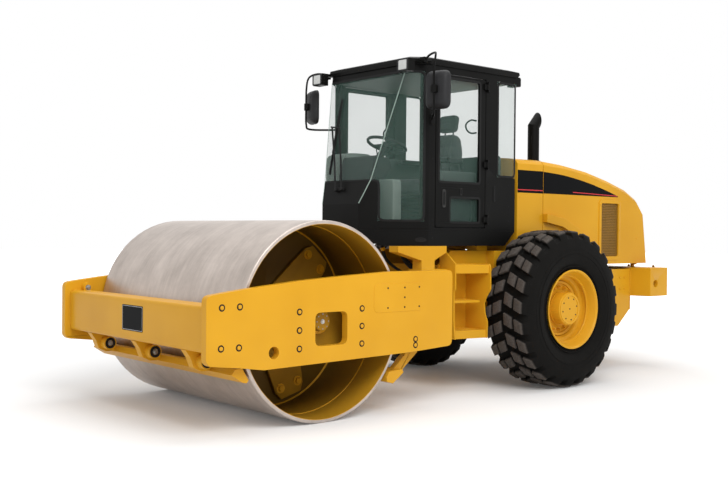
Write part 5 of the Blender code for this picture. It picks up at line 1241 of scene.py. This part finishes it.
SEAM = 0.008
cushion_block = standing(pillow(0.232, 0.240, 0.122, 0.07, 0.035), (0, 1.942, 1.812))
pad_seams = [(LEFTWARD, x, SEAM, 0.012) for x in (0.135, -0.135)]
pad_seams += [(REARWARD, back(distance), SEAM, 0.007) for distance in (1.84, 1.94, 2.04)]
cushion("seat_pad", cushion_block, 0.014, pad_seams, UPWARD, "seat_cushion")
BACK_LEAN = math.atan2(0.105, 0.62)
lean_up = np.array((0.0, math.sin(BACK_LEAN), math.cos(BACK_LEAN)))
lean_ahead = np.array((0.0, -math.cos(BACK_LEAN), math.sin(BACK_LEAN)))
back_outline = rounded([(-0.215, -0.285), (0.215, -0.285), (0.222, 0.10), (0.150, 0.285), (-0.150, 0.285),
                        (-0.222, 0.10)], 0.07)
back_levels = np.array([(0.86, 0.90, 0.0), (0.96, 0.97, 0.012), (1.0, 1.0, 0.035), (1.0, 1.0, 0.075),
                        (0.97, 0.97, 0.095), (0.88, 0.90, 0.108)])
back_place, head_place = np.array((0.0, back(2.395), 2.130)), np.array((0.0, back(2.440), 2.512))
back_seams = [(LEFTWARD, x, SEAM, 0.012) for x in (0.120, -0.120)]
back_seams += [(lean_up, float(back_place @ lean_up) + height, SEAM, 0.007)
               for height in (-0.16, -0.06, 0.04, 0.14)]
back_block = facing(loft(back_outline, back_levels), lean_ahead, back_place, lean_up)
cushion("seat_back_pad", back_block, 0.014, back_seams, lean_ahead, "seat_back")
head_seams = [(lean_up, float(head_place @ lean_up), SEAM, 0.004)]
head_block = facing(pillow(0.118, 0.085, 0.072, 0.045, 0.025), lean_ahead, head_place, lean_up)
cushion("headrest_pad", head_block, 0.010, head_seams, lean_ahead)
rests = []
for sign in (-1, 1):
    link = placed([(sign * 0.258, 2.30, 2.120), (sign * 0.236, 2.352, 2.075)])
    post = placed([(sign * 0.055, 2.405, 2.36), (sign * 0.055, 2.416, 2.47)])
    rests += [standing(pillow(0.028, 0.165, 0.052, 0.022, 0.014), (sign * 0.266, 2.150, 2.105)),
              swept(link, circle(0.014, 10), LEFTWARD), swept(post, circle(0.007, 8), LEFTWARD)]
trim("armrests", joined(*rests), black_plastic, SOFT)

# %% [markdown]
# A dark band runs from the cab along the cowl and tapers along the hood, with a thin red line near its foot.
# It is vinyl: a film about half a millimetre thick on the flat side. Its upper edge is a curve through five
# points.

# %% Band and red line
HOOD_SIDE, FILM = 0.6402, 0.0006
BAND_LOW, HOOD_FRONT = 1.842, 3.090
COWL_BAND = rectangle((2.702, 3.0838), (BAND_LOW - 0.002, 2.058))
COWL_LINE = rectangle((2.702, 3.0838), (1.864, 1.872))
TOP_KNOTS = [(HOOD_FRONT + 0.0005, 2.056), (3.42, 2.032), (3.80, 1.975), (4.12, 1.905), (4.325, 1.852)]
BAND_FOOT = [(HOOD_FRONT + 0.0005, BAND_LOW), (4.328, BAND_LOW - 0.003), (4.340, 1.846)]
HOOD_BAND = np.vstack([BAND_FOOT, curve(TOP_KNOTS, 8)[::-1]])
HOOD_LINE = [(3.560, 1.864), (4.322, 1.848), (4.318, 1.855), (3.560, 1.872)]
cowl_band, hood_band = (side_wall(outline, HOOD_SIDE, HOOD_SIDE + FILM) for outline in (COWL_BAND, HOOD_BAND))
build("cowl_bands", "rear_chassis", "black_paint", both(cowl_band), band_black)
cowl_line, hood_line = (side_wall(outline, HOOD_SIDE + FILM / 2, HOOD_SIDE + 2 * FILM)
                        for outline in (COWL_LINE, HOOD_LINE))
build("cowl_lines", "rear_chassis", "yellow_paint", both(cowl_line), stripe_red)
build("hood_bands", "engine_hood", "black_paint", both(hood_band), band_black)
build("hood_lines", "engine_hood", "yellow_paint", both(hood_line), stripe_red)
print("band from", COWL_BAND[0][0], "to", HOOD_BAND[2][0])

# %% [markdown]
# The side grilles are punched sheet. A grid of squares with every other cell left out gives the holes, and a
# Solidify modifier gives the sheet its thickness; a dark backing behind them stops the light.

# %% Side grilles
GRILLE_B, GRILLE_Z, GRILLE_X, HOLE_PITCH = (4.041, 4.339), (1.211, 1.769), 0.6330, 0.0085


def punched_sheet(b_span, z_span, x, pitch):
    """A grid of cells in which every cell of odd row and odd column is a hole."""
    columns, rows = (int((high - low) / pitch) // 2 * 2 + 1 for low, high in (b_span, z_span))
    b, z = np.meshgrid(np.linspace(*b_span, columns + 1), np.linspace(*z_span, rows + 1))
    points = np.stack([np.full(b.shape, x), back(b), z], axis=-1).reshape(-1, 3)
    row, column = np.mgrid[0:rows, 0:columns]
    corner = row * (columns + 1) + column
    quads = np.stack([corner, corner + 1, corner + columns + 2, corner + columns + 1], axis=-1)
    return points, [quads[(row % 2 == 0) | (column % 2 == 0)]]


sheet = punched_sheet(GRILLE_B, GRILLE_Z, GRILLE_X, HOLE_PITCH)
inner_spans = [(low + 0.001, high - 0.001) for low, high in (GRILLE_B, GRILLE_Z)]
backing = side_wall(rectangle(*inner_spans), 0.6190, 0.6215)
for sign, side in SIDES:
    flat_sheet = build(f"grille_sheet_painted_shade_{side}", "engine_hood", "grille_mesh", sided(sign, sheet), grille_sheet_painted_shade,
                       nodes=[f"side_grille_{side}"])
    thickness = flat_sheet.modifiers.new("sheet thickness", "SOLIDIFY")
    thickness.thickness, thickness.offset = 0.0015, 0.0
build("grille_backings", "engine_hood", "black_plastic", both(backing), seal_rubber)
grille_screws = [(0.6482, distance, height) for distance in (4.022, 4.358)
                 for height in (1.222, 1.490, 1.758)]
bolts("grille_screws", "engine_hood", grille_screws, button(0.0065, 0.004, 10))
print(sheet[1][0].shape[0], "cells in a sheet")

# %% [markdown]
# The exhaust stands through the hood: a straight pipe, a mitred joint, and a short tail that leans back and
# is cut on a slant, so that its mouth looks rearwards and rain stays out. The wall shows at the mouth.

# %% Exhaust
PIPE_X, PIPE_BACK, PIPE_RADIUS, PIPE_WALL = 0.20, 3.46, 0.0600, 0.003
PIPE_FOOT, MITRE = 2.0905, 2.560
TAIL_LENGTH, TAIL_LEAN, MOUTH_SLANT = 0.085, math.radians(42), -1.1


def exhaust_pipe(radius, low, steps=28):
    """Rings of a pipe: upright, sheared by half the lean at the mitre, then leaning, with a slanted mouth."""
    turn = np.linspace(0, 2 * np.pi, steps, endpoint=False)
    x, y = radius * np.cos(turn), radius * np.sin(turn)
    foot = np.stack([x, y, np.full(steps, low)], axis=-1)
    joint = np.stack([x, y, MITRE - y * math.tan(TAIL_LEAN / 2)], axis=-1)
    sine, cosine = math.sin(TAIL_LEAN), math.cos(TAIL_LEAN)
    reach = TAIL_LENGTH + y * MOUTH_SLANT
    mouth = np.stack([x, y * cosine + reach * sine, MITRE - y * sine + reach * cosine], axis=-1)
    middle = joint + (mouth - joint) * 0.5
    return [foot, joint, middle, mouth]


outer = exhaust_pipe(PIPE_RADIUS, PIPE_FOOT)
inner = exhaust_pipe(PIPE_RADIUS - PIPE_WALL, PIPE_FOOT + 0.1)
rings = np.stack(outer + inner[::-1])
stack = rings.reshape(-1, 3) + np.array((PIPE_X, back(PIPE_BACK), 0.0)), capped(*rings.shape[:2])
build("exhaust_pipe", "engine_hood", "black_paint", stack, sharp=math.radians(17), nodes=["exhaust"])
collar = ring([(PIPE_RADIUS - 0.001, 2.192), (0.078, 2.192), (0.074, 2.203), (PIPE_RADIUS - 0.001, 2.206)],
              40)
build("exhaust_collar", "engine_hood", "black_paint", facing(collar, UPWARD, (PIPE_X, back(PIPE_BACK), 0)))
print("exhaust top", round(float(rings[..., 2].max()), 3))

# %% [markdown]
# Small hardware finishes the body: catches on the hood's sides, screws on the cowl, and bolts on the rear bar
# and on the frame's tail.

# %% Hood and bar hardware
hood_spots = [(HOOD_SIDE, 4.686, 1.403), (HOOD_SIDE, 3.150, 1.60), (HOOD_SIDE, 3.150, 1.30)]
bolts("hood_catches", "engine_hood", hood_spots, button(0.011, 0.006, 16))
cowl_spots = [(HOOD_SIDE, distance, height) for distance in (2.735, 3.050) for height in (1.62, 1.80)]
bolts("cowl_screws", "rear_chassis", cowl_spots, button(0.0065, 0.004, 10))
rear_spots = [(x, 4.9852, height) for x in (0.34, 0.66) for height in (0.84, 1.09)]
bolts("bar_bolts", "rear_chassis", rear_spots, bolt_head(0.013, 0.010), out=REARWARD)
frame_spots = [(0.6202, distance, height) for height in (0.98, 0.86) for distance in (4.42, 4.50)]
bolts("tail_bolts", "rear_chassis", frame_spots, bolt_head(0.011, 0.009))
print(len(rear_spots), "bolts on the bar")

# %% [markdown]
# The studio is a pale floor that runs out of sight under a white sky, one broad soft light over the machine's
# left shoulder, and a weaker one overhead. The camera, mirrors and glass see the sky as plain white, while
# the machine is lit by a dimmer one, so that pale paint keeps its colour. The floor shows the camera a light
# of its own that grows with distance, so that it reads as white paper and still holds the machine's shadow.

# %% Floor and light
SKY_LIGHT, SKY_SEEN = 0.67, 1.0
FLOOR_REACH, FLOOR_LIFT, NEAR, FAR = 60.0, 0.05, 3.0, 10.0
KEY_PLACE, KEY_AIM, KEY_SIZE, KEY_WATTS = (7.5, -3.8, 7.5), (0, -0.2, 1.0), 6.0, 535
TOP_PLACE, TOP_AIM, TOP_SIZE, TOP_WATTS = (0.0, 1.0, 8.0), (0, 0.0, 1.0), 7.0, 240


def seen_directly(shader):
    """1 where the camera sees a point straight, in a mirror or through glass, and 0 for other light."""
    made = shader.tree.nodes.new("ShaderNodeLightPath")
    ray_names = ("Is Camera Ray", "Is Glossy Ray", "Is Transmission Ray")
    camera_ray, glossy_ray, through_ray = (Value(shader, made.outputs[name]) for name in ray_names)
    return camera_ray.math("MAXIMUM", glossy_ray).math("MAXIMUM", through_ray)


def pale_floor():
    """Matt white paper that glows where it is seen, faintly near the machine and fully far from it."""
    shader = Shader("pale_floor", roughness=0.9, Specular_IOR_Level=0.05, Emission_Strength=1.0)
    position, x, y, z = shader.place()
    fibre = shader.noise(40.0, 2.0, position)
    white = shader.mix(fibre, (0.86, 0.86, 0.86), (0.88, 0.88, 0.88))
    away = ((x * x + y * y) ** 0.5).step(NEAR, FAR)
    lift = seen_directly(shader) * (away * (1 - FLOOR_LIFT) + FLOOR_LIFT)
    return shader.paint(Base_Color=white, Emission_Color=shader.mix(lift, (0.0, 0.0, 0.0), (1.0, 1.0, 1.0)))


class Sky(Shader):
    """The world's node tree, which takes the same arithmetic as a material's."""

    def __init__(self, world):
        world.use_nodes = True
        self.tree = world.node_tree
        self.surface = self.tree.nodes["Background"]


def softbox(name, place, aim, size, watts):
    """A round area light at a place, turned towards its aim."""
    light = bpy.data.lights.new(name, "AREA")
    light.shape = "DISK"
    light.size = size
    light.energy = watts
    lamp = bpy.data.objects.new(name, light)
    lamp.location = place
    lamp.rotation_euler = (Vector(place) - Vector(aim)).to_track_quat("Z", "Y").to_euler()
    bpy.context.scene.collection.objects.link(lamp)


floor_mesh = bpy.data.meshes.new("floor")
floor_span = (-FLOOR_REACH, FLOOR_REACH)
floor_mesh.from_pydata([(x, y, 0.0) for x, y in rectangle(floor_span, floor_span)], [], [(0, 1, 2, 3)])
floor = bpy.data.objects.new("floor", floor_mesh)
floor_mesh.materials.append(pale_floor())
bpy.context.scene.collection.objects.link(floor)

world = bpy.data.worlds.new("studio")
bpy.context.scene.world = world
sky = Sky(world)
sky.feed(sky.surface.inputs["Color"], (1.0, 1.0, 1.0, 1.0))
sky.feed(sky.surface.inputs["Strength"], seen_directly(sky) * (SKY_SEEN - SKY_LIGHT) + SKY_LIGHT)
softbox("key light", KEY_PLACE, KEY_AIM, KEY_SIZE, KEY_WATTS)
softbox("top light", TOP_PLACE, TOP_AIM, TOP_SIZE, TOP_WATTS)
bpy.context.scene.view_settings.view_transform = "Standard"
print("sky", SKY_LIGHT, "for light,", SKY_SEEN, "as seen")
